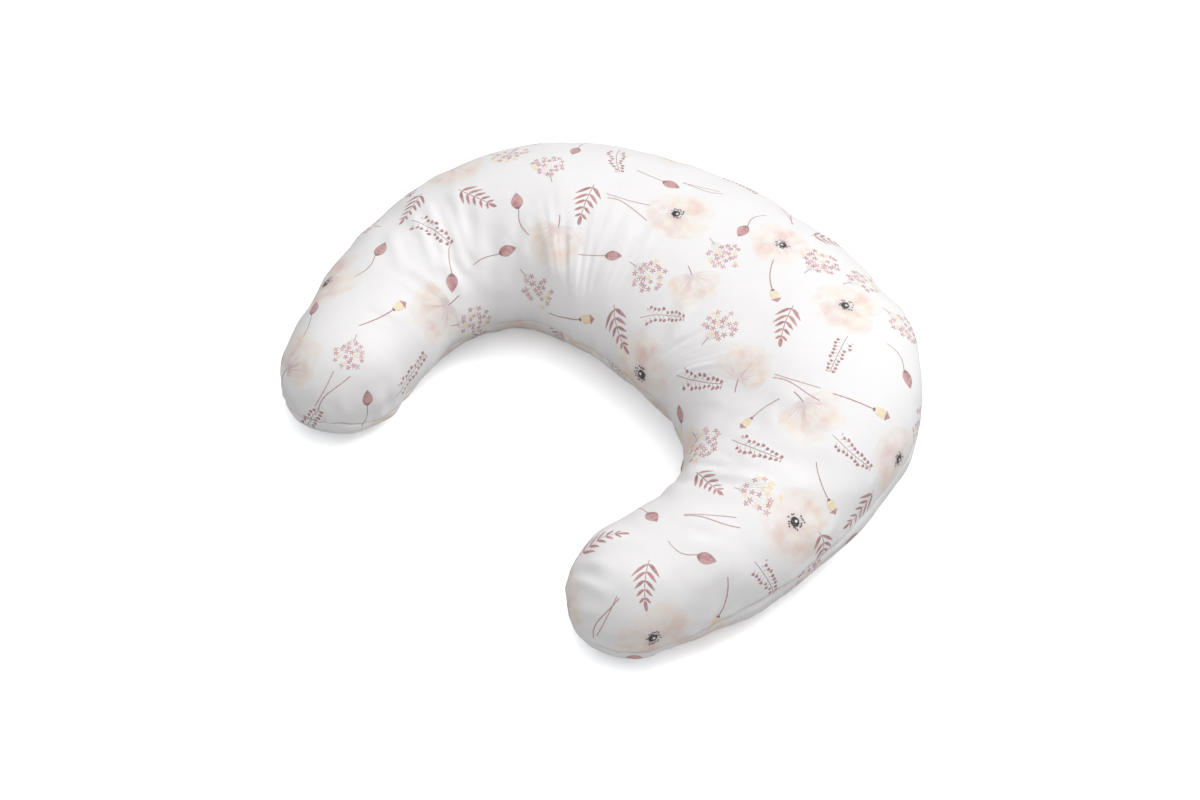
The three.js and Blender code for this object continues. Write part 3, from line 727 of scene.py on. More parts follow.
def noise(t, v, scale, detail=2.0, rough=0.5, distort=0.0, colour=False):
    n = t.nodes.new("ShaderNodeTexNoise")
    t.links.new(v.s, n.inputs["Vector"])
    n.inputs["Scale"].default_value = scale
    n.inputs["Detail"].default_value = detail
    n.inputs["Roughness"].default_value = rough
    n.inputs["Distortion"].default_value = distort
    return V(t, n.outputs["Color" if colour else "Fac"])


def voronoi(t, v, scale, rand=1.0):
    n = t.nodes.new("ShaderNodeTexVoronoi")
    n.voronoi_dimensions = "2D"
    t.links.new(v.s, n.inputs["Vector"])
    n.inputs["Scale"].default_value = scale
    n.inputs["Randomness"].default_value = rand
    return V(t, n.outputs["Distance"]), V(t, n.outputs["Color"]), V(t, n.outputs["Position"])


def uvmap(t, name):
    n = t.nodes.new("ShaderNodeUVMap")
    n.uv_map = name
    return V(t, n.outputs[0])


# ---------------------------------------------------------------- the printed motifs
CREAM, PEACH, BLUSH = srgb(249, 241, 231), srgb(246, 230, 217), srgb(242, 221, 214)
MAUVE, ROSE, PLUM = srgb(164, 101, 105), srgb(196, 136, 138), srgb(122, 64, 70)
YELLOW, STRAW, INK = srgb(247, 230, 176), srgb(244, 222, 172), srgb(26, 22, 26)
STEM = srgb(166, 105, 110)


def over(t, state, colour, alpha):
    """Paint a colour over what is there."""
    col, al = state
    return mixc(t, alpha, col, colour), al.max(alpha) if isinstance(al, V) else alpha


def line_mask(d, half, soft=0.22):
    return d.abs().step(half + soft, half - soft)


def petals(t, x, y, rnd, spec, state):
    """Overlapping watercolour petals from one point: (angle, length, half width, tint) each."""
    wob = noise(t, vec(t, x, y, rnd * 40), 0.062, 2.0)
    fine = noise(t, vec(t, x, y, rnd * 71), 0.34, 2.0)
    for i, (ang, L, W, tint) in enumerate(spec):
        ca, sa = (ang.cos(), ang.sin()) if isinstance(ang, V) else (math.cos(ang), math.sin(ang))
        px, py = x * ca + y * sa, y * ca - x * sa
        ax = px * (2 / L) - 1.0
        ay = py / (px * (0.55 * W / L) + 0.66 * W).max(1.0)
        d = (ax * ax + ay * ay).sqrt() + (wob - 0.5) * 0.80 + (fine - 0.5) * 0.12
        mask = d.step(1.03, 0.91)
        cloud = noise(t, vec(t, x, y, rnd * 13 + i * 7.7), 0.055, 1.0)
        c = mixc(t, cloud.step(0.38, 0.62), CREAM, tint)
        c = mixc(t, (wob + cloud).step(1.00, 1.28) * 0.55, c, srgb(238, 208, 198))
        c = mixc(t, d.step(0.74, 0.97) * 0.26, c, srgb(240, 214, 200))
        rib = noise(t, vec(t, py * 0.50, px * 0.045, rnd * 9 + i * 3.1), 1.0, 1.0)
        c = mixc(t, rib.step(0.54, 0.70) * 0.46 * px.step(30.0, 6.0) * px.step(0.5, 4.0), c, srgb(228, 190, 190))
        state = over(t, state, c, mask * (0.46 + cloud * 0.84).clamp() * d.step(1.25, 0.55).max(0.66))
    return state


def petal_flower(t, x, y, rnd, R=36.5):
    r = (x * x + y * y).sqrt().max(0.01)
    dx, dy = x / r, y / r
    turn = rnd * 1.7 + 0.35
    spec = [(turn, R, 21.0, PEACH), (turn + 2.40, R * 0.92, 19.0, BLUSH), (turn + 4.62, R * 1.05, 22.0, PEACH),
            (turn + 1.22, R * 0.84, 17.5, CREAM), (turn + 3.55, R * 0.98, 18.0, BLUSH)]
    state = petals(t, x, y, rnd, spec, (CREAM, 0.0))
    col, al = state
    heart = r.step(14.0, 3.0)
    col = mixc(t, heart * 0.50, col, srgb(208, 162, 168))
    # stamens: fine rays that end in small dark heads
    theta = calc(t, "ARCTAN2", y, x)
    rays = theta * (23 / (2 * math.pi)) + rnd * 5
    cell = rays.floor()
    h = noise(t, vec(t, cell * 0.731, rnd * 31, 0.5), 3.1, 0.0)
    some = noise(t, vec(t, cell * 1.37, rnd * 17, 4.5), 3.7, 0.0).step(0.40, 0.46)
    reach = 2.6 + h * 7.4
    across = (rays.fract() - 0.5) * r * (2 * math.pi / 23)
    ray = line_mask(across, 0.17, 0.15) * r.step(2.2, 2.8) * (reach - r).step(0.0, 0.6) * some
    head = ((across * across + (r - reach) * (r - reach)).sqrt()).step(1.10, 0.72) * some
    grain = noise(t, vec(t, x, y, rnd * 5), 1.1, 1.0)
    skew = r + (dx * 0.8 + dy * 0.6) * 1.3
    ring = r.step(1.0, 1.5) * (skew + (grain - 0.5) * 3.0).step(4.9, 3.9) * grain.step(0.24, 0.36)
    col = mixc(t, r.step(2.6, 1.7), col, srgb(246, 240, 226))
    dark = (ray * 0.88).max(head * 0.96).max(ring)
    col = mixc(t, dark, col, INK)
    return col, al, dark


def petal_fan(t, x, y, rnd):
    """A flower seen from the side: petals hanging to one side of a short stem."""
    yb = y + 21.0
    rho = (x * x + yb * yb).sqrt().max(0.01)
    q = math.pi / 2
    lean = (rnd - 0.5) * 0.3
    spec = [(lean + (q - 0.98), 33.0, 14.0, PEACH), (lean + (q + 1.02), 34.0, 13.0, BLUSH),
            (lean + (q - 0.30), 42.0, 15.0, CREAM), (lean + (q + 0.42), 41.0, 14.0, PEACH)]
    col, al = petals(t, x, yb, rnd, spec, (CREAM, 0.0))
    psi = calc(t, "ARCTAN2", x, yb)
    rays = noise(t, vec(t, psi * 9.0, rho * 0.03, rnd * 3), 1.0, 1.0)
    col = mixc(t, rays.step(0.50, 0.66) * rho.step(30.0, 5.0) * 0.55, col, srgb(206, 156, 166))
    base = rho.step(12.0, 2.0)
    col = mixc(t, base * 0.70, col, srgb(198, 146, 158))
    bend = x - (yb * 0.18) * (yb * 0.06)
    stem = line_mask(bend, 0.55) * yb.step(2.0, 0.0) * yb.step(-13.5, -12.5)
    return mixc(t, stem, col, MAUVE), al, stem * 0.9


def umbel(t, x, y, rnd):
    p = vec(t, x, y, 0.0)
    shift = vec(t, x + rnd * 311.0, y + rnd * 173.0, 0.0)
    _, cellc, pos = voronoi(t, shift, 1 / 5.7, 0.66)
    qx, qy, _ = parts(t, pos)
    cx, cy = qx - rnd * 311.0, qy - rnd * 173.0
    lx, ly = x - cx, y - cy
    rr = (lx * lx + ly * ly).sqrt()
    aa = calc(t, "ARCTAN2", ly, lx)
    h1, h2, h3 = parts(t, cellc)
    size = 2.75 + h1 * 0.80
    fl = size * (0.62 + 0.40 * (aa * 5.0 + h2 * 6.0).cos())
    cd = (cx * cx + (cy - 3.0) * (cy - 3.0)).sqrt()
    inside = cd.lt(17.5) * h3.gt(0.16)
    m = (fl - rr).step(-0.16, 0.26) * inside
    hue = mixc(t, h2.gt(0.78), mixc(t, h1.gt(0.62), srgb(192, 128, 140), srgb(216, 168, 174)), srgb(247, 226, 170))
    hue = mixc(t, rr.step(0.62, 0.30) * 0.8, hue, srgb(250, 226, 214))
    # thin stalks fanning out from below
    yb = y + 21.0
    rho = (x * x + yb * yb).sqrt()
    psi = calc(t, "ARCTAN2", x, yb)
    k = psi * 7.0 + rnd * 3
    across = (k.fract() - 0.5) * rho / 7.0
    stalk = line_mask(across, 0.15, 0.16) * psi.abs().step(0.62, 0.58) * rho.step(32.0, 24.0) * rho.step(3.0, 5.0) * 0.55
    trunk = line_mask(x - yb * yb * 0.012, 0.36) * yb.step(7.0, 5.0) * yb.step(-4.0, -3.0)
    st = stalk.max(trunk)
    col = mixc(t, m, STEM, hue)
    return col, st.max(m)


def leaf_sprig(t, x, y, rnd):
    bend = 0.010 * y * y * (rnd * 2.0 - 1.0)
    X = x - bend
    ax = X.abs()
    pitch = 8.1
    v = (y - ax * 0.52 - ax * ax * 0.036 + 22.0) / pitch
    i = v.floor()
    tpos = (i / 4.4).max(0.0).min(1.0)
    wob = noise(t, vec(t, i * 2.7, X.gt(0.0) * 4.3, rnd * 23), 1.0, 0.0)
    f = (v.fract() - 0.40 - (wob - 0.5) * 0.22) * pitch * 0.86
    L = (12.6 - tpos * 7.4) * (0.84 + wob * 0.32)
    l = ax / L
    w = (2.15 - tpos * 0.6) * ((l.min(1.0).max(0.0) * math.pi).sin().max(0.0) ** 0.8)
    leaf = (w - f.abs()).step(-0.12, 0.28) * l.lt(1.0) * i.gt(-0.5) * i.lt(4.5)
    tipx, tipy = X / 1.9, (y - 20.5) / 5.0
    tip = (tipx * tipx + tipy * tipy).step(1.05, 0.85)
    stem = line_mask(X, 0.42) * y.step(-23.5, -22.5) * y.step(22.0, 20.0)
    m = leaf.max(tip).max(stem)
    wash = noise(t, vec(t, x, y, rnd * 19), 0.24, 2.0)
    side = noise(t, vec(t, i * 3.7, X.gt(0.0) * 2.3, rnd * 7), 1.0, 0.0)
    col = mixc(t, wash.step(0.34, 0.62), srgb(148, 86, 90), ROSE)
    col = mixc(t, side.step(0.45, 0.65) * 0.5, col, srgb(208, 152, 149))
    col = mixc(t, l.step(0.25, 1.0) * 0.45, col, srgb(214, 167, 163))
    rib = line_mask(f - 0.3, 0.16, 0.2) * leaf
    col = mixc(t, rib * 0.6, col, PLUM)
    return col, m * (0.78 + wash * 0.34)


def bud(t, x, y, rnd):
    s = rnd * 2.0 - 1.0
    yy = y - 12.0
    lx = x / 5.5
    tt = (yy + 9.0) / 18.4
    w = (((tt.max(0.0).min(1.0)) ** 0.8) * math.pi).sin().max(0.0) ** 0.85
    body = (w - lx.abs()).step(-0.04, 0.07)
    cx = s * 0.012 * (y - 6.0) * (y - 6.0)
    cx2 = cx + s * 4.0 * (y * 0.12).sin()
    stem = line_mask(x - cx2 + s * 0.0, 0.42) * y.step(-25.5, -24.5) * y.step(6.5, 4.5)
    wash = noise(t, vec(t, x, y, rnd * 19), 0.3, 2.0)
    col = mixc(t, wash.step(0.34, 0.62), srgb(178, 112, 120), srgb(206, 150, 152))
    col = mixc(t, (x / 5.1 + wash * 0.6).step(-0.2, 1.0) * 0.55, col, srgb(220, 172, 168))
    col = mixc(t, (w - lx.abs()).step(0.16, 0.02) * 0.55, col, PLUM)
    seam = line_mask(x - 1.0 * (tt * 3.0).sin(), 0.16, 0.2) * body
    col = mixc(t, seam * 0.5, col, PLUM)
    sepal = (w - (lx * 1.0).abs()).step(-0.04, 0.07) * tt.step(0.22, 0.14)
    col = mixc(t, sepal * 0.7, col, PLUM)
    m = body.max(stem)
    return mixc(t, body, STEM, col), m * 0.95


def pod(t, x, y, rnd):
    s = rnd * 2.0 - 1.0
    yy = (y - 17.0) / 6.6
    xx = x / (4.3 + (y - 17.0) * 0.16)
    cap = (xx * xx + yy * yy).step(1.06, 0.88)
    lid = (x.abs() - (27.2 - y) * 1.05).step(0.35, -0.2) * (x.abs() - 4.9).step(0.3, -0.2) * y.step(22.0, 22.6)
    node = ((x / 2.0) * (x / 2.0) + ((y - 11.2) / 1.2) * ((y - 11.2) / 1.2)).step(1.1, 0.75)
    cxx = s * 0.011 * (y - 11.0) * (y - 11.0)
    hair = noise(t, vec(t, x, y * 0.3, rnd * 11), 1.1, 1.0)
    stem = line_mask(x - cxx, 0.50) * y.step(-26.5, -25.5) * y.step(11.5, 10.5)
    fuzz = (x - cxx).abs().step(1.15, 0.5) * hair.step(0.54, 0.62) * y.step(-26.5, -25.5) * y.step(11.5, 10.5) * 0.7
    rib = line_mask((x * 1.05).sin() * 1.0, 0.16, 0.3)
    wash = noise(t, vec(t, x, y, rnd * 19), 0.35, 2.0)
    col = mixc(t, wash.step(0.42, 0.62), srgb(246, 228, 182), srgb(251, 240, 208))
    col = mixc(t, rib * 0.30, col, srgb(222, 190, 156))
    col = mixc(t, xx.step(0.2, 1.0) * 0.3, col, srgb(224, 176, 162))
    c2 = mixc(t, cap, STEM, col)
    c2 = mixc(t, lid, c2, mixc(t, wash.step(0.4, 0.6), srgb(178, 112, 120), srgb(204, 146, 146)))
    c2 = mixc(t, node, c2, PLUM)
    m = cap.max(lid).max(node).max(stem).max(fuzz)
    return c2, m * 0.95


def berry_branch(t, x, y, rnd):
    s = rnd * 2.0 - 1.0
    bend = s * 0.008 * y * y
    X = x - bend
    stem = line_mask(X, 0.34) * y.step(-25.5, -24.5) * y.step(25.0, 24.0)
    pitch = 4.6
    out, dark = None, None
    for side, off in ((1.0, 0.0), (-1.0, 0.5)):
        v = y / pitch + off
        i = v.floor()
        h = noise(t, vec(t, i * 1.93, side * 3.1, rnd * 17), 1.7, 0.0)
        tp = ((y + 25.0) / 50.0).clamp()
        h2 = noise(t, vec(t, i * 2.71, side * 5.3, rnd * 29), 1.7, 0.0)
        reach = (8.6 - tp * 6.0) * (0.35 + h * 1.25)
        f = (v.fract() - 0.30 - h2 * 0.42) * pitch
        lx = X * side - reach
        rr = 1.45 + h * 0.55
        heart = (lx * lx + f * f + (lx.abs() * f) * 0.5).sqrt()
        b = (rr - heart).step(-0.15, 0.28) * y.step(-19.0, -17.0) * y.step(25.0, 24.0)
        tw = line_mask(f - (X * side - reach) * 0.5, 0.27, 0.20) * (X * side).gt(0.0) * (X * side - reach).lt(0.0)
        tw = tw * y.step(-19.0, -17.0) * y.step(25.0, 24.0)
        m = b.max(tw * 0.85)
        out = m if out is None else out.max(m)
        dark = b if dark is None else dark.max(b)
    wash = noise(t, vec(t, x, y, rnd * 19), 0.5, 1.0)
    col = mixc(t, wash.step(0.40, 0.60), srgb(148, 84, 90), ROSE)
    return mixc(t, dark, STEM, col), stem.max(out) * 0.92


def bare_stems(t, x, y, rnd):
    s = rnd * 2.0 - 1.0
    hair = noise(t, vec(t, x, y * 0.4, rnd * 11), 1.2, 1.0)
    ends = y.step(-26.5, -25.5) * y.step(26.5, 25.5)
    a = x - s * 0.010 * (y + 8.0) * (y + 8.0) - 1.8 - 1.6 * (y * 0.11).sin()
    b = x + s * 0.0035 * (y - 6.0) * (y - 6.0) + 3.4 + y * 0.13
    m = line_mask(a, 0.52) * ends
    m2 = line_mask(b, 0.44) * ends * y.step(21.0, 20.0)
    fz = a.abs().step(1.1, 0.5) * hair.step(0.54, 0.62) * ends * 0.7
    fz2 = b.abs().step(1.0, 0.5) * hair.step(0.46, 0.38) * ends * y.step(21.0, 20.0) * 0.6
    return mixc(t, hair, srgb(196, 146, 150), MAUVE), m.max(m2).max(fz).max(fz2) * 0.92


LAYER_A = {"front": petal_flower, "side": petal_fan}
LAYER_B = {"umbel": umbel, "sprig": leaf_sprig, "bud": bud, "pod": pod, "berry": berry_branch, "stems": bare_stems}
REACH = {"front": 46, "side": 42, "umbel": 25, "sprig": 28, "bud": 28, "pod": 28, "berry": 28, "stems": 29}


def cotton_base(t):
    """The bare cloth: near white, faint thread-scale variation, and its relief."""
    w = uvmap(t, "weave")
    geo = t.nodes.new("ShaderNodeTexCoord")
    obj = V(t, geo.outputs["Object"])
    wx, wy, _ = parts(t, w)
    warp = (wx * (2 * math.pi / 0.42)).sin()
    weft = (wy * (2 * math.pi / 0.42)).sin()
    plain = (warp * weft) * 0.5 + (warp.abs() + weft.abs()) * 0.25
    slub = noise(t, vec(t, wx * 0.06, wy * 1.6, 0.3), 1.0, 2.0)
    slub2 = noise(t, vec(t, wx * 1.6, wy * 0.06, 7.3), 1.0, 2.0)
    crinkle = noise(t, obj, 62.0, 3.0, 0.55)
    soft = noise(t, obj, 21.0, 2.0, 0.5)
    return w, plain, slub, slub2, crinkle, soft


def cotton_material(name, a_kind, b_kind):
    mat = bpy.data.materials.new(name)
    mat.use_nodes = True
    t = mat.node_tree
    bsdf = t.nodes["Principled BSDF"]
    w, plain, slub, slub2, crinkle, soft = cotton_base(t)
    tint = (slub + slub2) * 0.5
    colour = mixc(t, tint.step(0.3, 0.7), CLOTH_A, CLOTH_B)
    rough = 0.50 + slub * 0.10
    ink = None
    if a_kind or b_kind:
        rn = uvmap(t, "chance")
        ra, rb, _ = parts(t, rn)
        bleed = noise(t, w, 1.9, 1.0)
        if a_kind:
            x, y, _ = parts(t, uvmap(t, "motifA"))
            jig = (bleed - 0.5) * 0.5
            c, al, firm = LAYER_A[a_kind](t, x + jig, y - jig, ra)
            wash = noise(t, vec(t, x, y, ra * 3.0), 0.060, 3.0, 0.6)
            al = (al * (wash - 0.10) * 2.00).clamp().max(firm)
            colour = mixc(t, al, colour, c)
            ink = al
        if b_kind:
            x, y, _ = parts(t, uvmap(t, "motifB"))
            jig = (bleed - 0.5) * 0.35
            c, al = LAYER_B[b_kind](t, x + jig, y - jig, rb)
            wash = noise(t, vec(t, x, y, rb * 3.0), 0.35, 2.0)
            al = (al * (0.74 + wash * 0.40)).clamp()
            colour = mixc(t, al, colour, c)
            ink = al if ink is None else ink.max(al)
        thread = plain.step(-0.4, 0.9)
        colour = mixc(t, ink.clamp() * thread * 0.07, colour, CLOTH_B)
        rough = rough + ink * 0.04
    put(t, bsdf.inputs["Base Color"], colour)
    put(t, bsdf.inputs["Roughness"], rough)
    bsdf.inputs["Specular IOR Level"].default_value = 0.42
    bsdf.inputs["Sheen Weight"].default_value = 0.22
    bsdf.inputs["Sheen Roughness"].default_value = 0.38
    bsdf.inputs["Sheen Tint"].default_value = (1.0, 0.98, 0.97, 1)
    bsdf.inputs["Subsurface Weight"].default_value = 0.0
    height = plain * 0.05 + slub * 0.10 + slub2 * 0.10 + crinkle * 0.55 + soft * 1.2
    bump = t.nodes.new("ShaderNodeBump")
    bump.inputs["Strength"].default_value = 0.55
    bump.inputs["Distance"].default_value = 0.0011
    put(t, bump.inputs["Height"], height)
    t.links.new(bump.outputs[0], bsdf.inputs["Normal"])
    return mat


CLOTH_A, CLOTH_B = srgb(247, 246, 246), srgb(251, 250, 250)


# ---------------------------------------------------------------- where the motifs lie
def motif_frame(sk, up, deg, turn):
    """Centre, two surface directions and the normal at a place on the skin; turn is measured from the length."""
    i = int(np.clip(np.searchsorted(sk["u"], up), 1, len(sk["u"]) - 2))
    n = len(sk["phi"])
    j = int(round((deg % 360) / 360 * n)) % n
    C, N = sk["P"][i, j], sk["N"][i, j]
    e = sk["P"][min(i + 2, len(sk["u"]) - 1), j] - sk["P"][i - 2 if i >= 2 else 0, j]
    e = e - N * (e @ N)
    e = e / np.linalg.norm(e)
    g = np.cross(N, e)
    a = math.radians(turn)
    Y = e * math.cos(a) + g * math.sin(a)
    X = np.cross(Y, N)
    return C, X, Y, N


def scatter(sk, top, placed, kinds, spacing, seed, n_try, others=(), clear=0.0):
    """Fill the rest of a panel with motifs, keeping a distance to those already there."""
    rng = np.random.default_rng(seed)
    pts = [motif_frame(sk, *p[1:4])[0] for p in placed]
    away = np.array([motif_frame(sk, *p[1:4])[0] for p in others])
    out = list(placed)
    lo, hi = float(sk["u"][0]) + 12, float(sk["u"][-1]) - 12
    for _ in range(n_try):
        up, deg = rng.uniform(lo, hi), rng.uniform(3, 177)
        deg = deg if top else -deg
        kind = kinds[int(rng.integers(len(kinds)))]
        turn, size, chance = rng.uniform(0, 360), rng.uniform(0.9, 1.12), rng.uniform(0, 1)
        C = motif_frame(sk, up, deg, 0)[0]
        if pts and np.min(np.linalg.norm(np.array(pts) - C, axis=1)) < spacing * rng.uniform(0.92, 1.10):
            continue
        if len(away) and np.min(np.linalg.norm(away - C, axis=1)) < clear:
            continue
        pts.append(C)
        out.append((kind, up, deg, turn, size, chance))
    return out


def print_cloth(ob, sk, top, decals_a, decals_b, tag):
    """Give every face the nearest motif of both layers, its local coordinates and the matching material."""
    me = ob.data
    nf = len(me.polygons)
    cen = np.zeros(nf * 3)
    me.polygons.foreach_get("center", cen)
    cen = cen.reshape(-1, 3) / MM
    co = np.zeros(len(me.vertices) * 3)
    me.vertices.foreach_get("co", co)
    co = co.reshape(-1, 3) / MM
    nl = len(me.loops)
    lv = np.zeros(nl, int)
    me.loops.foreach_get("vertex_index", lv)
    start = np.zeros(nf, int)
    count = np.zeros(nf, int)
    me.polygons.foreach_get("loop_start", start)
    me.polygons.foreach_get("loop_total", count)
    face_of = np.repeat(np.arange(nf), count)
    order = np.argsort(start, kind="stable")
    face_of = np.repeat(order, count[order])
    chance = np.zeros((nl, 2))
    kind_of = []
    for col, (key, decals) in enumerate((("motifA", decals_a), ("motifB", decals_b))):
        fr = [motif_frame(sk, *d[1:4]) for d in decals]
        C = np.array([f[0] for f in fr])
        d2 = ((cen[:, None, :] - C[None]) ** 2).sum(-1)
        size = np.array([d[4] for d in decals])
        reach = np.array([REACH[d[0]] for d in decals]) * size
        score = np.sqrt(d2) / reach[None]
        best = np.argmin(score, 1)
        ok = score[np.arange(nf), best] < 1.12
        X = np.array([f[1] for f in fr])
        Y = np.array([f[2] for f in fr])
        b = best[face_of]
        r = co[lv] - C[b]
        x, y = (r * X[b]).sum(-1), (r * Y[b]).sum(-1)
        l = np.linalg.norm(r, axis=-1)
        k = l / np.maximum(np.hypot(x, y), 1e-6)
        k = np.minimum(k, 1.6) / size[b]
        layer = me.uv_layers.new(name=key)
        layer.data.foreach_set("uv", np.stack([x * k, y * k], -1).astype(np.float32).ravel())
        chance[:, col] = np.array([d[5] for d in decals])[b]
        names = [d[0] for d in decals]
        kind_of.append([names[best[i]] if ok[i] else None for i in range(nf)])
    layer = me.uv_layers.new(name="chance")
    layer.data.foreach_set("uv", chance.astype(np.float32).ravel())
    combos = sorted(set(zip(*kind_of)), key=lambda c: (c[0] or "", c[1] or ""))
    for a, b in combos:
        key = "cover_cotton_%s_%s" % (a or "plain", b or "plain")
        mat = bpy.data.materials.get(key) or cotton_material(key, a, b)
        me.materials.append(mat)
    index = {c: i for i, c in enumerate(combos)}
    me.polygons.foreach_set("material_index", [index[c] for c in zip(*kind_of)])
    me.update()


def loop_uv(me, name, per_vertex):
    lv = np.zeros(len(me.loops), int)
    me.loops.foreach_get("vertex_index", lv)
    layer = me.uv_layers.new(name=name)
    layer.data.foreach_set("uv", np.asarray(per_vertex, np.float32)[lv].ravel())
    return layer


# printed motifs of the side that is seen first, in the pillow's own arrangement: kind, place along the length
# (mm), angle around the section, turn of the motif, size, chance
PRINT_A = [
    ("front", -472, 6, 45, 1.01, 0.55), ("side", -393, 56, -82, 1.11, 0.11), ("front", -602, 47, 8, 1.07, 0.59),
    ("side", -598, 146, 176, 1.08, 0.48), ("side", -708, 54, -67, 1.13, 0.92),
    ("front", -695, -139, 165, 1.13, 0.09), ("side", -296, 128, -88, 1.05, 0.02),
    ("front", -407, -139, 92, 1.10, 0.94), ("front", -68, 88, 70, 1.00, 0.64), ("side", 54, 8, -104, 1.03, 0.46),
    ("front", 205, 69, 133, 1.01, 0.33), ("side", 310, 112, 145, 0.98, 0.26), ("front", 162, 172, -134, 1.13, 0.91),
    ("side", 184, 11, 48, 1.07, 0.58), ("side", 393, 77, 54, 1.08, 0.43), ("front", 364, 15, 151, 1.00, 0.14),
    ("front", 505, 47, -143, 1.10, 0.18), ("side", 770, 114, 169, 1.05, 0.09), ("front", 674, 8, -164, 1.08, 0.94),
]
PRINT_B = [
    ("berry", -487, 90, -78, 1.10, 0.82), ("bud", -566, 79, 9, 1.11, 0.14), ("umbel", -541, 174, -24, 1.00, 0.82),
    ("umbel", -389, 159, -52, 1.04, 0.44), ("pod", -638, 112, -21, 1.08, 0.33), ("bud", -735, 165, 69, 0.98, 0.30),
    ("berry", -770, -11, -124, 1.02, 0.83), ("bud", -656, 54, 12, 1.05, 0.34), ("bud", -695, -41, -93, 1.10, 0.08),
    ("berry", -670, 171, 9, 1.13, 0.46), ("bud", -562, 6, 3, 1.02, 0.95), ("umbel", -346, 9, -19, 1.00, 0.99),
    ("sprig", -404, 86, -56, 1.04, 0.49), ("bud", -357, 103, 92, 1.13, 0.78), ("bud", -523, 124, -117, 1.07, 0.40),
    ("umbel", -285, 77, 101, 1.01, 0.38), ("sprig", -223, 98, -91, 1.13, 0.40), ("bud", -159, 124, 18, 0.98, 0.48),
    ("pod", -234, 172, 31, 1.11, 0.30), ("umbel", -112, -139, 28, 1.11, 0.04), ("sprig", -25, 158, -36, 1.09, 0.18),
    ("umbel", -32, 122, -2, 1.04, 0.17), ("stems", -148, 92, -1, 1.06, 0.92), ("berry", -191, 64, -75, 1.09, 0.10),
    ("bud", -162, 6, -16, 0.98, 0.07), ("berry", -47, 38, -8, 0.98, 0.98), ("bud", -123, 71, -5, 1.11, 0.45),
    ("umbel", 50, 94, -17, 1.02, 0.02), ("umbel", 123, 66, 108, 1.14, 0.17), ("bud", 22, 73, -78, 1.09, 0.15),
    ("pod", 137, 90, -15, 1.06, 0.09), ("bud", 123, 24, 146, 1.07, 0.57), ("berry", 86, 133, 36, 0.99, 0.83),
    ("umbel", 195, 116, 109, 1.08, 0.87), ("umbel", 223, 41, 45, 1.04, 0.29), ("sprig", 234, 94, -32, 1.12, 0.32),
    ("bud", 281, 43, 29, 1.09, 0.86), ("sprig", 241, 8, 71, 1.11, 0.96), ("berry", 364, 139, 60, 1.07, 0.33),
    ("berry", 476, 99, 87, 1.14, 0.36), ("berry", 285, 77, -18, 1.00, 0.45), ("umbel", 512, 139, 47, 1.12, 0.30),
    ("bud", 450, 174, 140, 1.03, 0.50), ("pod", 346, 60, 101, 1.14, 0.52), ("umbel", 314, 9, -35, 1.06, 0.43),
    ("berry", 404, 49, 89, 1.00, 0.20), ("stems", 350, 90, 76, 1.00, 0.69), ("umbel", 523, 79, 114, 1.12, 0.57),
    ("sprig", 429, 9, 11, 1.03, 0.91), ("pod", 458, 49, 75, 0.98, 0.12), ("sprig", 487, 6, 75, 1.04, 0.88),
    ("sprig", 559, 111, 79, 1.00, 0.56), ("pod", 598, 174, 48, 1.04, 0.15), ("berry", 678, 174, 133, 1.09, 0.27),
    ("bud", 623, 66, 142, 1.04, 0.07), ("bud", 645, 124, 88, 1.12, 0.56), ("sprig", 674, 58, 68, 1.01, 0.21),
    ("sprig", 704, 118, 157, 1.12, 0.69), ("stems", 722, 32, 48, 1.03, 0.20), ("stems", 587, 84, 133, 1.04, 0.50),
    ("berry", 555, 19, 101, 0.98, 0.57), ("pod", 605, 13, 50, 1.09, 0.81), ("sprig", 700, -68, 129, 1.09, 0.48),
]


# ---------------------------------------------------------------- threads, zip, insert: shared builders
ARC_Y = -88.317


def arc_point(beta, depth, z):
    """Place on the zip's arc: angle from the middle of the back, depth under the cover's face, height from the seam."""
    r = FACE_R - depth
    return np.stack([r * np.sin(beta), ARC_Y + r * np.cos(beta), SEAM_Z + z + 0 * beta], -1)


def stitch_run(name, C, T, N, length, radius, sides=6):
    """Single stitches: short threads that bow up out of the cloth; centres, directions, normals in mm."""
    C, T, N = (np.asarray(a, float) for a in (C, T, N))
    T = T / np.linalg.norm(T, axis=1, keepdims=True)
    N = N - T * (N * T).sum(1, keepdims=True)
    N = N / np.maximum(np.linalg.norm(N, axis=1, keepdims=True), 1e-9)
    S = np.cross(T, N)
    xs = np.array([-0.5, -0.43, -0.2, 0.2, 0.43, 0.5])
    rs = np.array([0.30, 0.82, 1.0, 1.0, 0.82, 0.30]) * radius
    bow = -(2 * xs) ** 2 * radius * 0.9
    length = np.broadcast_to(np.asarray(length, float), (len(C),))
    ang = np.arange(sides) * 2 * math.pi / sides
    V3 = []
    for x, r, b in zip(xs, rs, bow):
        for a in ang:
            V3.append(C + T * (x * length)[:, None] + N * (b + r * math.sin(a)) + S * (r * math.cos(a)))
    V3 = np.stack(V3, 1)
    per = V3.shape[1]
    faces = []
    one = []
    for k in range(len(xs) - 1):
        for a in range(sides):
            one.append([k * sides + a, k * sides + (a + 1) % sides, (k + 1) * sides + (a + 1) % sides, (k + 1) * sides + a])
    one.append(list(range(sides))[::-1])
    one.append([(len(xs) - 1) * sides + a for a in range(sides)])
    for i in range(len(C)):
        faces += [[v + i * per for v in f] for f in one]
    ob = make_mesh(name, V3.reshape(-1, 3), faces)
    outward(ob)
    return ob


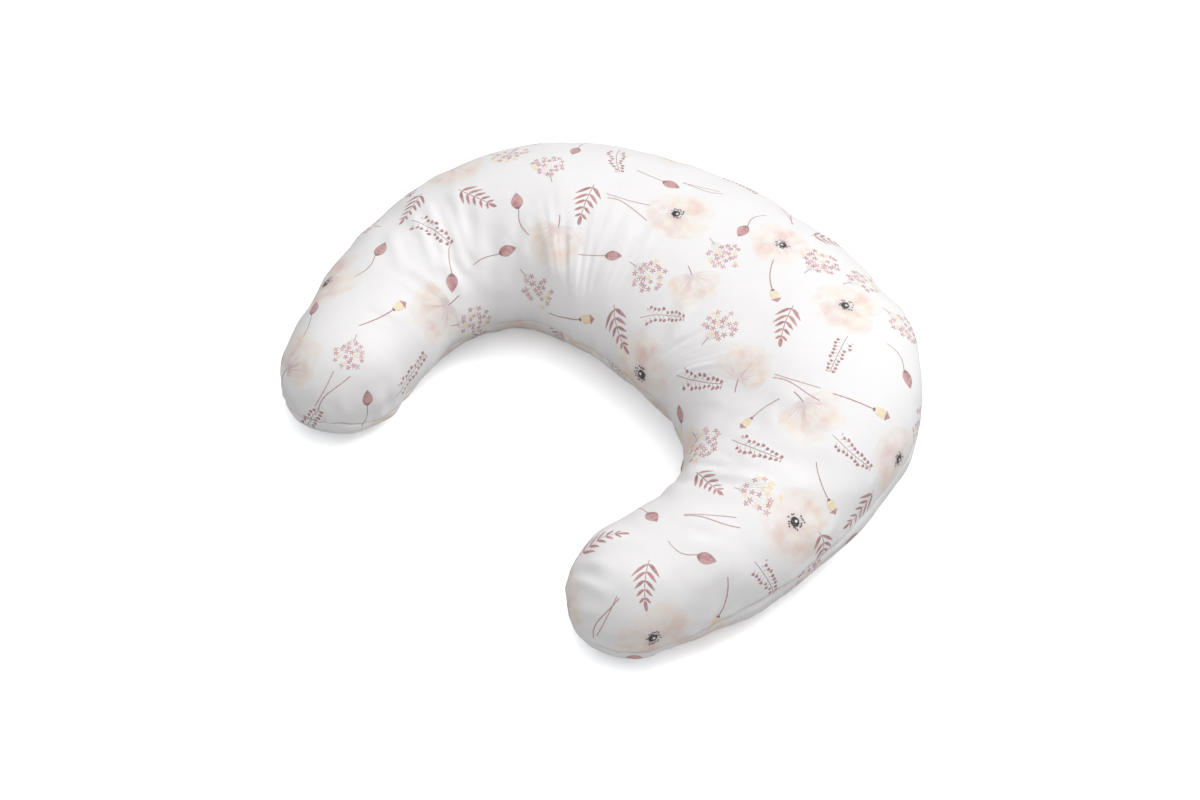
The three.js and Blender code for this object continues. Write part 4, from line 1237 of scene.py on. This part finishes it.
def tube(name, path, radius, sides=6, up=(0, 0, 1)):
    """A thread or wire along a path of points in mm."""
    P = np.asarray(path, float)
    T = np.gradient(P, axis=0)
    T /= np.linalg.norm(T, axis=1, keepdims=True)
    N = np.array([np.cross(t, up) if abs(t @ np.array(up)) < 0.95 else np.cross(t, (1, 0, 0)) for t in T])
    N /= np.linalg.norm(N, axis=1, keepdims=True)
    S = np.cross(T, N)
    ang = np.arange(sides) * 2 * math.pi / sides
    G = P[:, None] + radius * (N[:, None] * np.cos(ang)[None, :, None] + S[:, None] * np.sin(ang)[None, :, None])
    n = len(P)
    ids = np.arange(n * sides).reshape(n, sides)
    faces = grid_faces(ids, closed=True)
    faces += [ids[0].tolist()[::-1], ids[-1].tolist()]
    ob = make_mesh(name, G.reshape(-1, 3), faces)
    outward(ob)
    return ob


def piece(ob, body, slot, mat, *nodes):
    ob.data.materials.clear()
    ob.data.materials.append(mat)
    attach(ob, body)
    if nodes:
        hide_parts(*nodes)
    return ob


# ---------------------------------------------------------------- materials of everything under and around the cover
def new_mat(name):
    mat = bpy.data.materials.new(name)
    mat.use_nodes = True
    t = mat.node_tree
    return mat, t, t.nodes["Principled BSDF"], V(t, t.nodes.new("ShaderNodeTexCoord").outputs["Object"])


def relief(t, b, height, distance, strength=0.6, normal=None):
    bump = t.nodes.new("ShaderNodeBump")
    bump.inputs["Strength"].default_value = strength
    bump.inputs["Distance"].default_value = distance
    put(t, bump.inputs["Height"], height)
    if normal is not None:
        t.links.new(normal, bump.inputs["Normal"])
    t.links.new(bump.outputs[0], b.inputs["Normal"])


def thread_material():
    mat, t, b, p = new_mat("sewing_thread")
    n = noise(t, p, 900.0, 2.0)
    x, y, z = parts(t, p)
    ply = ((x + y * 0.9 + z * 1.3) * 9000.0).sin() * 0.5 + 0.5
    put(t, b.inputs["Base Color"], mixc(t, ply * 0.5 + n * 0.5, srgb(232, 226, 222), srgb(252, 249, 246)))
    put(t, b.inputs["Roughness"], 0.42 + n * 0.22)
    b.inputs["Sheen Weight"].default_value = 0.25
    relief(t, b, ply + n * 0.4, 0.00006, 0.7)
    return mat


def tape_material():
    mat, t, b, p = new_mat("zip_tape_weave")
    x, y, _ = parts(t, uvmap(t, "weave"))
    chevron = ((x + (y * 1.0 - ((y / 1.6).floor() * 1.6)) * 1.0 * ((y / 1.6).floor().m("MODULO", 2.0) * 2.0 - 1.0)) * (2 * math.pi / 0.9)).sin()
    rows = (y * (2 * math.pi / 0.5)).sin()
    n = noise(t, vec(t, x, y, 0.0), 2.2, 2.0)
    h = chevron * 0.35 + rows * 0.25 + n * 0.3
    put(t, b.inputs["Base Color"], mixc(t, h.step(-0.5, 0.8), srgb(226, 218, 210), srgb(248, 243, 238)))
    put(t, b.inputs["Roughness"], 0.66 + n * 0.12)
    b.inputs["Sheen Weight"].default_value = 0.2
    relief(t, b, h, 0.00018, 0.7)
    return mat


def coil_material():
    mat, t, b, p = new_mat("zip_coil_nylon")
    n = noise(t, p, 420.0, 2.0)
    put(t, b.inputs["Base Color"], mixc(t, n, srgb(236, 230, 223), srgb(250, 246, 241)))
    put(t, b.inputs["Roughness"], 0.30 + n * 0.18)
    b.inputs["Subsurface Weight"].default_value = 0.15
    b.inputs["Subsurface Scale"].default_value = 0.0008
    relief(t, b, n, 0.00004, 0.4)
    return mat


def metal_material():
    mat, t, b, p = new_mat("zip_stop_nickel")
    n = noise(t, p, 700.0, 3.0)
    w = noise(t, p, 90.0, 2.0)
    put(t, b.inputs["Base Color"], mixc(t, w, srgb(186, 184, 182), srgb(216, 214, 211)))
    b.inputs["Metallic"].default_value = 1.0
    put(t, b.inputs["Roughness"], 0.26 + n * 0.22)
    bev = t.nodes.new("ShaderNodeBevel")
    bev.inputs["Radius"].default_value = 0.00022
    relief(t, b, n, 0.00004, 0.5, bev.outputs[0])
    return mat


def slider_material():
    mat, t, b, p = new_mat("zip_slider_enamel")
    n = noise(t, p, 260.0, 2.0)
    pits = noise(t, p, 1500.0, 2.0)
    edge = V(t, t.nodes.new("ShaderNodeNewGeometry").outputs["Pointiness"])
    wear = (edge.step(0.60, 0.72) * pits.step(0.52, 0.66) * 0.7).clamp()
    put(t, b.inputs["Base Color"], mixc(t, wear, mixc(t, n, srgb(233, 227, 221), srgb(243, 238, 233)), srgb(190, 187, 184)))
    put(t, b.inputs["Metallic"], wear * 0.9)
    put(t, b.inputs["Roughness"], 0.28 + n * 0.14 + pits * 0.05)
    b.inputs["Coat Weight"].default_value = 0.35
    b.inputs["Coat Roughness"].default_value = 0.18
    bev = t.nodes.new("ShaderNodeBevel")
    bev.inputs["Radius"].default_value = 0.00035
    relief(t, b, n * 0.6 + pits * 0.25, 0.00005, 0.5, bev.outputs[0])
    return mat


def label_material():
    mat, t, b, p = new_mat("label_satin_blank")
    x, y, _ = parts(t, uvmap(t, "weave"))
    floats = ((x + y * 0.25) * (2 * math.pi / 0.35)).sin()
    n = noise(t, vec(t, x * 0.15, y * 2.0, 0.0), 1.0, 2.0)
    put(t, b.inputs["Base Color"], mixc(t, n * 0.7 + floats * 0.15, srgb(240, 237, 234), srgb(253, 252, 250)))
    put(t, b.inputs["Roughness"], 0.28 + n * 0.16)
    b.inputs["Anisotropic"].default_value = 0.6
    b.inputs["Sheen Weight"].default_value = 0.15
    relief(t, b, floats * 0.4 + n, 0.00007, 0.6)
    return mat


def casing_material():
    mat, t, b, p = new_mat("insert_nonwoven")
    x, y, _ = parts(t, uvmap(t, "weave"))
    bx = (x / 2.2 + y / 2.2).fract() - 0.5
    by = (x / 2.2 - y / 2.2).fract() - 0.5
    bond = (bx * bx + by * by).sqrt().step(0.22, 0.14)
    strands = noise(t, vec(t, x * 1.4, y * 0.35, 0.0), 1.0, 3.0, 0.6, 1.2)
    n = noise(t, p, 60.0, 2.0)
    put(t, b.inputs["Base Color"], mixc(t, (strands * 0.8 + n * 0.3 - bond * 0.25).clamp(), srgb(226, 224, 222), srgb(247, 246, 245)))
    put(t, b.inputs["Roughness"], 0.72 - bond * 0.18)
    b.inputs["Sheen Weight"].default_value = 0.12
    relief(t, b, strands * 0.7 - bond * 1.0 + n * 2.0, 0.0004, 0.6)
    return mat


def fibre_material():
    mat, t, b, p = new_mat("polyester_fibre")
    n = noise(t, p, 240.0, 4.0, 0.65, 1.5)
    m = noise(t, p, 45.0, 3.0, 0.6)
    put(t, b.inputs["Base Color"], mixc(t, n * 0.6 + m * 0.4, srgb(228, 227, 226), srgb(252, 252, 252)))
    put(t, b.inputs["Roughness"], 0.8 + n * 0.15)
    b.inputs["Sheen Weight"].default_value = 0.5
    b.inputs["Sheen Roughness"].default_value = 0.6
    relief(t, b, n * 0.6 + m * 1.6, 0.0022, 0.8)
    return mat


# ---------------------------------------------------------------- putting the cover together
def bake_strip_uv(ob, ring_of, col_of, n_rings, n_cols, u_of_ring):
    """Texture layout of a panel: both halves of its length as two straight strips, one above the other."""
    me = ob.data
    nf = len(me.polygons)
    lv = np.zeros(len(me.loops), int)
    me.loops.foreach_get("vertex_index", lv)
    start, count = np.zeros(nf, int), np.zeros(nf, int)
    me.polygons.foreach_get("loop_start", start)
    me.polygons.foreach_get("loop_total", count)
    order = np.argsort(start, kind="stable")
    face_of = np.repeat(order, count[order])
    ru = u_of_ring[ring_of[lv]]
    mean = np.bincount(face_of, ru, nf) / count
    right = mean[face_of] > 0
    x = np.abs(ru) / np.max(np.abs(u_of_ring)) * 0.98 + 0.01
    y = 0.012 + 0.474 * col_of[lv] / (n_cols - 1) + np.where(right, 0.5, 0.0)
    layer = me.uv_layers.new(name="OFBake")
    layer.data.foreach_set("uv", np.stack([x, y], -1).astype(np.float32).ravel())


def finish_panel(sk, name, node, top, every, cols, seed):
    ob, G, ids, rings, v_mm = build_panel(sk, name, top, every, cols)
    nv = len(ob.data.vertices)
    ring_of, col_of, along, across = (np.zeros(nv) for _ in range(4))
    u_mm = sk["u"][rings]
    for arr, val in ((ring_of, np.arange(len(rings))[:, None] + 0 * v_mm), (col_of, np.arange(v_mm.shape[1])[None] + 0 * v_mm),
                     (along, u_mm[:, None] + 0 * v_mm), (across, v_mm)):
        arr[ids.ravel()] = val.ravel()
    for r in (0, -1):
        col_of[ids[r, 0]] = (v_mm.shape[1] - 1) / 2
        across[ids[r, 0]] = 0
    bake_strip_uv(ob, ring_of.astype(int), col_of, len(rings), v_mm.shape[1], u_mm)
    loop_uv(ob.data, "weave", np.stack([along, across], -1))
    mine = [p for p in PRINT_A if (p[2] >= 0) == top or abs(p[1]) > 700]
    mine_b = [p for p in PRINT_B if (p[2] >= 0) == top or abs(p[1]) > 700]
    a = scatter(sk, top, mine, ["front", "side", "front", "side"], 96, seed, 4000, mine_b, 40)
    b = scatter(sk, top, mine_b, ["umbel", "sprig", "bud", "pod", "berry", "stems", "bud", "sprig", "umbel"], 46, seed + 1, 12000, a, 45)
    print_cloth(ob, sk, top, a, b, node)
    mod = ob.modifiers.new("cloth_thickness", "SOLIDIFY")
    mod.thickness, mod.offset, mod.use_rim = 0.0006, -1.0, True
    mod.use_even_offset = False
    apply_modifiers(ob)
    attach(ob, "pillow")
    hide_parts(node)
    print(name, "faces", len(ob.data.polygons), "materials", len(ob.data.materials), "motifs", len(a), len(b))
    return ob


skin = build_skin()
cover_top = finish_panel(skin, "printed_top_panel", "cover_top_panel", True, 1, 96, 11)
cover_bottom = finish_panel(skin, "printed_bottom_panel", "cover_bottom_panel", False, 1, 84, 23)


# ---------------------------------------------------------------- seams, insert and fill
THREAD, TAPE, COIL = thread_material(), tape_material(), coil_material()
METAL, ENAMEL, SATIN = metal_material(), slider_material(), label_material()
CASING, FIBRE = casing_material(), fibre_material()


def seam_stitches(sk, name, depth, pitch, radius, skip_zip):
    """Lockstitches down in the groove along the outer and the inner seam."""
    C, T, N = [], [], []
    n = len(sk["phi"])
    for col, half in ((n - sk["drop_out"], 0), (n // 2 + sk["drop_in"], 1)):
        P = at_column(sk["P"], col)
        nrm = at_column(sk["N"], col)
        nrm[:, 2] *= 0.3
        L = np.concatenate([[0], np.cumsum(np.linalg.norm(np.diff(P, axis=0), axis=1))])
        at = np.arange(6.0, L[-1] - 6.0, pitch)
        pos = np.stack([np.interp(at, L, P[:, k]) for k in range(3)], -1)
        nn = np.stack([np.interp(at, L, nrm[:, k]) for k in range(3)], -1)
        nn /= np.linalg.norm(nn, axis=1, keepdims=True)
        tt = np.gradient(pos, axis=0)
        uu = np.interp(at, L, sk["u"])
        ok = np.ones(len(at), bool)
        if half == 0 and skip_zip:
            ok = np.abs(uu) > FACE_R * math.radians(22.4)
        C.append((pos - nn * depth)[ok])
        T.append(tt[ok])
        N.append(nn[ok])
    ob = stitch_run(name, np.concatenate(C), np.concatenate(T), np.concatenate(N), pitch * 0.92, radius)
    return ob


def inner_layer(sk, name, gap, zip_gap, top, every, cols_step, lump, seed):
    """A layer under the cover: the skin moved inwards, with its own creases."""
    rings = np.arange(0, len(sk["u"]), every)
    rings = np.append(rings, len(sk["u"]) - 1) if rings[-1] != len(sk["u"]) - 1 else rings
    n_phi = len(sk["phi"])
    cols = np.arange(0, n_phi, cols_step)
    P, N = sk["P"][np.ix_(rings, cols)], sk["N"][np.ix_(rings, cols)]
    nearzip = smoothstep(40, 18, sk["t_out"][np.ix_(rings, cols)]) * window(sk["u"][rings][:, None], -140, 140, 40)
    g = gap + (zip_gap - gap) * nearzip
    low = smoothstep(30, 4, P[..., 2])
    Q = P - N * (g + np.abs(noise3(P, 24, seed)) * lump * (1 - 0.6 * low))[..., None]
    # the ends pull back by the same gap
    cen = Q.mean(1, keepdims=True)
    for r, side in ((0, 1), (-1, -1)):
        Q[r] = P[r] + (cen[side * 3] - P[r]) / np.maximum(np.linalg.norm(cen[side * 3] - P[r], axis=-1, keepdims=True), 1e-6) * gap
    Q[..., 2] = np.maximum(Q[..., 2], gap * 0.85)
    u = sk["u"][rings]
    if top is not None:
        half = n_phi // 2 // cols_step
        Q = Q[:, :half + 1] if top else np.concatenate([Q[:, half:], Q[:, :1]], 1)
        n_r, n_c = Q.shape[:2]
        # a hair of space between the two halves
        shift = np.array([0, 0, 0.35 if top else -0.35])
        Q = Q + shift
        Q[..., 2] = np.maximum(Q[..., 2], gap * 0.85)
        ids = np.arange(n_r * n_c).reshape(n_r, n_c)
    else:
        n_r, n_c = Q.shape[:2]
        ids = np.arange(n_r * n_c).reshape(n_r, n_c)
    ids[0, :], ids[-1, :] = ids[0, 0], ids[-1, 0]
    used = np.unique(ids)
    remap = -np.ones(n_r * n_c, int)
    remap[used] = np.arange(len(used))
    ob = make_mesh(name, Q.reshape(-1, 3)[used], grid_faces(remap[ids], closed=top is None))
    if top is None:
        outward(ob)
    else:
        nz = np.mean([v.normal.z for v in ob.data.vertices]) * (1 if top else -1)
        if nz < 0:
            ob.data.flip_normals()
    seg = np.linalg.norm(np.diff(Q, axis=1), axis=-1)
    v_mm = np.concatenate([np.zeros((n_r, 1)), np.cumsum(seg, 1)], 1)
    nv = len(ob.data.vertices)
    uv = np.zeros((nv, 2))
    uv[remap[ids].ravel(), 0] = (u[:, None] + 0 * v_mm).ravel()
    uv[remap[ids].ravel(), 1] = v_mm.ravel()
    loop_uv(ob.data, "weave", uv)
    return ob


def thicken(ob, mm):
    mod = ob.modifiers.new("cloth_thickness", "SOLIDIFY")
    mod.thickness, mod.offset, mod.use_rim = mm * MM, -1.0, True
    apply_modifiers(ob)


it = inner_layer(skin, "insert_casing_top", 2.6, 6.4, True, 2, 2, 0.7, 71)
thicken(it, 0.45)
piece(it, "pillow", "insert_casing", CASING, "insert_top_panel")
ib = inner_layer(skin, "insert_casing_bottom", 2.6, 6.4, False, 2, 2, 0.7, 73)
thicken(ib, 0.45)
piece(ib, "pillow", "insert_casing", CASING, "insert_bottom_panel")
fill = inner_layer(skin, "fibre_filling", 4.4, 9.2, None, 2, 2, 2.2, 77)
piece(fill, "pillow", "fibre", FIBRE, "fibre_fill")

seam = seam_stitches(skin, "cover_seam_stitches", 1.2, 3.0, 0.30, True)
piece(seam, "pillow", "thread", THREAD, "cover_seam_thread")


def layer_seam(sk, name, depth, zip_depth, u_lo, u_hi, both, pitch, radius):
    C, T, N = [], [], []
    for col in ((0, len(sk["phi"]) // 2 + SEAM_DROP) if both else (0,)):
        P = sk["P"][:, col]
        nrm = sk["N"][:, col].copy()
        nrm[:, 2] *= 0.2
        L = np.concatenate([[0], np.cumsum(np.linalg.norm(np.diff(P, axis=0), axis=1))])
        at = np.arange(8.0, L[-1] - 8.0, pitch)
        uu = np.interp(at, L, sk["u"])
        pos = np.stack([np.interp(at, L, P[:, k]) for k in range(3)], -1)
        nn = np.stack([np.interp(at, L, nrm[:, k]) for k in range(3)], -1)
        nn /= np.linalg.norm(nn, axis=1, keepdims=True)
        d = depth + (zip_depth - depth) * window(uu, -140, 140, 40) * (1 if col == 0 else 0)
        ok = (uu >= u_lo) & (uu <= u_hi) if not both else np.ones(len(at), bool)
        if both and col == 0:
            ok = ~((uu > u_lo) & (uu < u_hi))
        C.append((pos - nn * d[:, None])[ok])
        T.append(np.gradient(pos, axis=0)[ok])
        N.append(nn[ok])
    return stitch_run(name, np.concatenate(C), np.concatenate(T), np.concatenate(N), pitch * 0.92, radius)


_clo, _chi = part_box("insert_closing_stitch")
_cx = sorted([_clo[0] / MM, _chi[0] / MM])
s_in = layer_seam(skin, "insert_seam_stitches", 2.9, 6.8, _cx[0] - 1, _cx[1] + 1, True, 3.2, 0.28)
piece(s_in, "pillow", "thread", THREAD, "insert_seam_thread")
s_cl = layer_seam(skin, "insert_closing_stitches", 2.3, 6.1, _cx[0], _cx[1], False, 4.2, 0.36)
piece(s_cl, "pillow", "thread", THREAD, "insert_closing_stitch")


# ---------------------------------------------------------------- the zip
def zip_tape(name, sg, node):
    zs = np.concatenate([np.linspace(1.0, 4.6, 6), np.linspace(5.6, 12.0, 7)])
    dep = np.interp(zs, [1.0, 4.6, 12.0], [2.36, 2.56, 3.70])
    beta = np.radians(np.linspace(-23.0, 23.0, 150))
    ripple = 0.10 * noise1(beta * FACE_R, 9.0, 5 if sg > 0 else 6)[:, None] * smoothstep(4.6, 12.0, zs)[None]
    G = arc_point(beta[:, None] + 0 * zs[None], dep[None] + ripple, sg * zs[None] + 0 * beta[:, None])
    n_r, n_c = G.shape[:2]
    ids = np.arange(n_r * n_c).reshape(n_r, n_c)
    ob = make_mesh(name, G.reshape(-1, 3), grid_faces(ids))
    if np.mean([v.normal.y for v in ob.data.vertices]) < 0:
        ob.data.flip_normals()
    uv = np.stack([beta[:, None] * FACE_R + 0 * zs[None], zs[None] + 0 * beta[:, None]], -1).reshape(-1, 2)
    loop_uv(ob.data, "weave", uv)
    thicken(ob, 0.5)
    return piece(ob, "pillow", "zip_tape", TAPE, node)


def zip_coil(name, sg, node):
    pitch, wire = 1.25, 0.25
    turns = int(2 * ZIP_HALF * FACE_R / pitch)
    per = 10
    k = np.arange(turns * per + 1)
    th = k * 2 * math.pi / per + (0 if sg > 0 else math.pi)
    beta = -ZIP_HALF + 2 * ZIP_HALF * k / k[-1]
    squash = lambda v: np.sign(v) * np.abs(v) ** 0.75
    z = sg * (1.6 - 0.74 * squash(np.cos(th)))
    dep = 1.12 + 0.56 * squash(np.sin(th))
    return piece(tube(name, arc_point(beta, dep, z), wire, 5), "pillow", "zip_coil", COIL, node)


def zip_stitches(name, sg, node):
    C, T, N = [], [], []
    for z0, pit, off in ((6.4, 2.9, 0.0), (8.6, 2.9, 1.4)):
        s = np.arange(-22.3 * math.pi / 180 * FACE_R + off, 22.3 * math.pi / 180 * FACE_R, pit)
        b = s / FACE_R
        face = np.stack([np.sin(b), np.cos(b), 0 * b], -1)
        tan = np.stack([np.cos(b), -np.sin(b), 0 * b], -1)
        drop = FACE_R - FACE_R
        dz = 129.7 * (1 - (1 - (z0 / 78.2) ** ROUNDNESS) ** (1 / ROUNDNESS))
        C.append(arc_point(b, dz - 0.12, sg * z0 + 0 * b))
        T.append(tan)
        N.append(face)
    ob = stitch_run(name, np.concatenate(C), np.concatenate(T), np.concatenate(N), 2.5, 0.24)
    return piece(ob, "pillow", "thread", THREAD, node)


def bartack(name, deg, node):
    """Dense zigzag across the end of the slot."""
    n = 26
    zz = np.linspace(-5.4, 5.4, n * 2)
    side = np.where(np.arange(n * 2) % 2 == 0, -1.0, 1.0)
    b = math.radians(deg) + side * 0.85 / FACE_R
    P = arc_point(b, -0.42 - 0.10 * np.cos(zz * 2.0), zz)
    fine = []
    for i in range(len(P) - 1):
        for f in (0.0, 0.33, 0.66):
            q = P[i] * (1 - f) + P[i + 1] * f
            fine.append(q)
    fine.append(P[-1])
    return piece(tube(name, fine, 0.21, 6), "pillow", "thread", THREAD, node)


zip_tape("zip_tape_top", 1, "zip_tape_upper")
zip_tape("zip_tape_bottom", -1, "zip_tape_lower")
zip_coil("zip_coil_top", 1, "zip_coil_upper")
zip_coil("zip_coil_bottom", -1, "zip_coil_lower")
zip_stitches("zip_topstitch_top", 1, "zip_stitch_upper")
zip_stitches("zip_topstitch_bottom", -1, "zip_stitch_lower")
bartack("bartack_west", -22.2, "zip_bartack_left")
bartack("bartack_east", 22.2, "zip_bartack_right")


# ---------------------------------------------------------------- care label: a folded, blank satin ribbon
def care_label():
    n_u, n_v = 15, 22
    us = np.linspace(-241, -211, n_u)
    u_all = skin["u"]
    rings = np.interp(us, u_all, np.arange(len(u_all)))
    i0 = np.floor(rings).astype(int)
    fr = (rings - i0)[:, None]
    drop = np.linspace(0, 34, n_v)
    G = np.zeros((n_u, n_v, 3))
    for a in range(n_u):
        col = np.arange(0, -40, -1) % len(skin["phi"])
        P = skin["P"][i0[a], col] * (1 - fr[a]) + skin["P"][i0[a] + 1, col] * fr[a]
        N = skin["N"][i0[a], col]
        L = np.concatenate([[0], np.cumsum(np.linalg.norm(np.diff(P, axis=0), axis=1))])
        P2 = np.stack([np.interp(drop, L, P[:, k]) for k in range(3)], -1)
        N2 = np.stack([np.interp(drop, L, N[:, k]) for k in range(3)], -1)
        N2 /= np.linalg.norm(N2, axis=1, keepdims=True)
        lift = -0.6 + 3.4 * smoothstep(0, 12, drop) + 1.3 * np.sin(drop / 34 * 2.6) + 0.5 * np.sin(us[a] * 0.22) * drop / 34
        G[a] = P2 + N2 * lift[:, None]
    ids = np.arange(n_u * n_v).reshape(n_u, n_v)
    ob = make_mesh("care_ribbon", G.reshape(-1, 3), grid_faces(ids))
    vn = np.mean([np.dot(v.normal, (-0.3, 0.9, 0)) for v in ob.data.vertices])
    if vn < 0:
        ob.data.flip_normals()
    loop_uv(ob.data, "weave", np.stack([us[:, None] + 0 * drop[None], drop[None] + 0 * us[:, None]], -1).reshape(-1, 2))
    thicken(ob, 0.45)
    return piece(ob, "pillow", "label_satin", SATIN, "care_label")


care_label()

# the metal parts keep their CAD shape and get their finish
for node, mat in (("zip_top_stop_upper", METAL), ("zip_top_stop_lower", METAL), ("zip_bottom_stop", METAL),
                  ("zip_slider_body", ENAMEL), ("zip_pull_tab", ENAMEL)):
    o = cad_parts[node]
    for s in o.material_slots:
        s.material = mat
    if not o.material_slots:
        o.data.materials.append(mat)


# ---------------------------------------------------------------- floor, light, camera
def build_stage():
    import bmesh
    # floor sweeping up into a backdrop, behind and around the pillow
    az, el = math.radians(CAM_AZ), math.radians(CAM_EL)
    back = Vector((math.sin(az) * math.cos(el), -math.cos(az) * math.cos(el), math.sin(el)))
    n = 96
    verts, faces = [], []
    prof = [(0.0, 0.0), (1.2, 0.0), (3.0, 0.0), (4.2, 0.02), (5.2, 0.35), (5.9, 1.2), (6.1, 3.0), (6.1, 5.5)]
    verts.append((0, 0, 0))
    for k, (r, z) in enumerate(prof[1:]):
        for i in range(n):
            a = 2 * math.pi * i / n
            verts.append((r * math.cos(a), r * math.sin(a), z))
    for i in range(n):
        faces.append((0, 1 + i, 1 + (i + 1) % n))
    for k in range(len(prof) - 2):
        o = 1 + k * n
        for i in range(n):
            faces.append((o + i, o + n + i, o + n + (i + 1) % n, o + (i + 1) % n))
    me = bpy.data.meshes.new("studio_floor")
    me.from_pydata(verts, [], faces)
    me.polygons.foreach_set("use_smooth", np.ones(len(faces), bool))
    me.update()
    ob = bpy.data.objects.new("studio_floor", me)
    bpy.context.scene.collection.objects.link(ob)
    mat = bpy.data.materials.new("studio_paper")
    mat.use_nodes = True
    t = mat.node_tree
    b = t.nodes["Principled BSDF"]
    b.inputs["Roughness"].default_value = 0.9
    b.inputs["Specular IOR Level"].default_value = 0.1
    path = V(t, t.nodes.new("ShaderNodeLightPath").outputs["Is Camera Ray"])
    put(t, b.inputs["Base Color"], mixc(t, path, (FLOOR_BOUNCE,) * 3 + (1,), (FLOOR_ALBEDO * 0.975, FLOOR_ALBEDO, FLOOR_ALBEDO * 1.02, 1)))
    b.inputs["Emission Color"].default_value = (1, 1, 1, 1)
    put(t, b.inputs["Emission Strength"], path * FLOOR_GLOW)
    me.materials.append(mat)

    cam = bpy.data.cameras.new("photo_camera")
    cam.lens, cam.sensor_width = CAM_LENS, 36.0
    cam.clip_start, cam.clip_end = 0.05, 60
    co = bpy.data.objects.new("photo_camera", cam)
    tgt = Vector(CAM_TARGET) * MM
    co.location = tgt + back * (CAM_DIST * MM)
    co.rotation_euler = back.to_track_quat("Z", "Y").to_euler()
    bpy.context.scene.collection.objects.link(co)
    bpy.context.scene.camera = co

    right = Vector((math.cos(az), math.sin(az), 0))
    up = back.cross(right)
    fwd = Vector((-math.sin(az), math.cos(az), 0))

    def area(name, pos, size, power, colour=(1, 1, 1)):
        li = bpy.data.lights.new(name, "AREA")
        li.shape = "DISK"
        li.size = size
        li.energy = power
        li.color = colour
        lo = bpy.data.objects.new(name, li)
        lo.location = pos
        lo.rotation_euler = (Vector(pos) - Vector((0, 0, 0.06))).to_track_quat("Z", "Y").to_euler()
        bpy.context.scene.collection.objects.link(lo)
        return lo

    for name, (r, f, z), size, power in LIGHTS:
        area(name, tuple(right * r + fwd * f + Vector((0, 0, z))), size, power)

    w = bpy.data.worlds.new("studio_air")
    w.use_nodes = True
    w.node_tree.nodes["Background"].inputs[0].default_value = (WORLD_COLOUR[0], WORLD_COLOUR[1], WORLD_COLOUR[2], 1)
    w.node_tree.nodes["Background"].inputs[1].default_value = WORLD_LIGHT
    bpy.context.scene.world = w
    bpy.context.scene.view_settings.view_transform = "Standard"
    bpy.context.scene.view_settings.look = "None"
    bpy.context.scene.view_settings.exposure = EXPOSURE


CAM_AZ, CAM_EL, CAM_DIST, CAM_LENS = 43.78, 47.70, 2687.9, 81.66
CAM_TARGET = (23.91, -52.87, 64.8)
FLOOR_ALBEDO = 1.70
FLOOR_BOUNCE = 0.58
FLOOR_GLOW = 0.17
WORLD_COLOUR = (1.0, 0.99, 0.99)
WORLD_LIGHT = 0.82
EXPOSURE = 0.0
# name, (to the right of the picture, away from the camera, up) in metres, size, watts
LIGHTS = [("key", (2.0, 0.9, 2.3), 1.8, 37.5), ("overhead", (0.1, 0.5, 3.0), 2.6, 13),
          ("front", (0.2, -2.4, 1.7), 2.2, 5)]
build_stage()
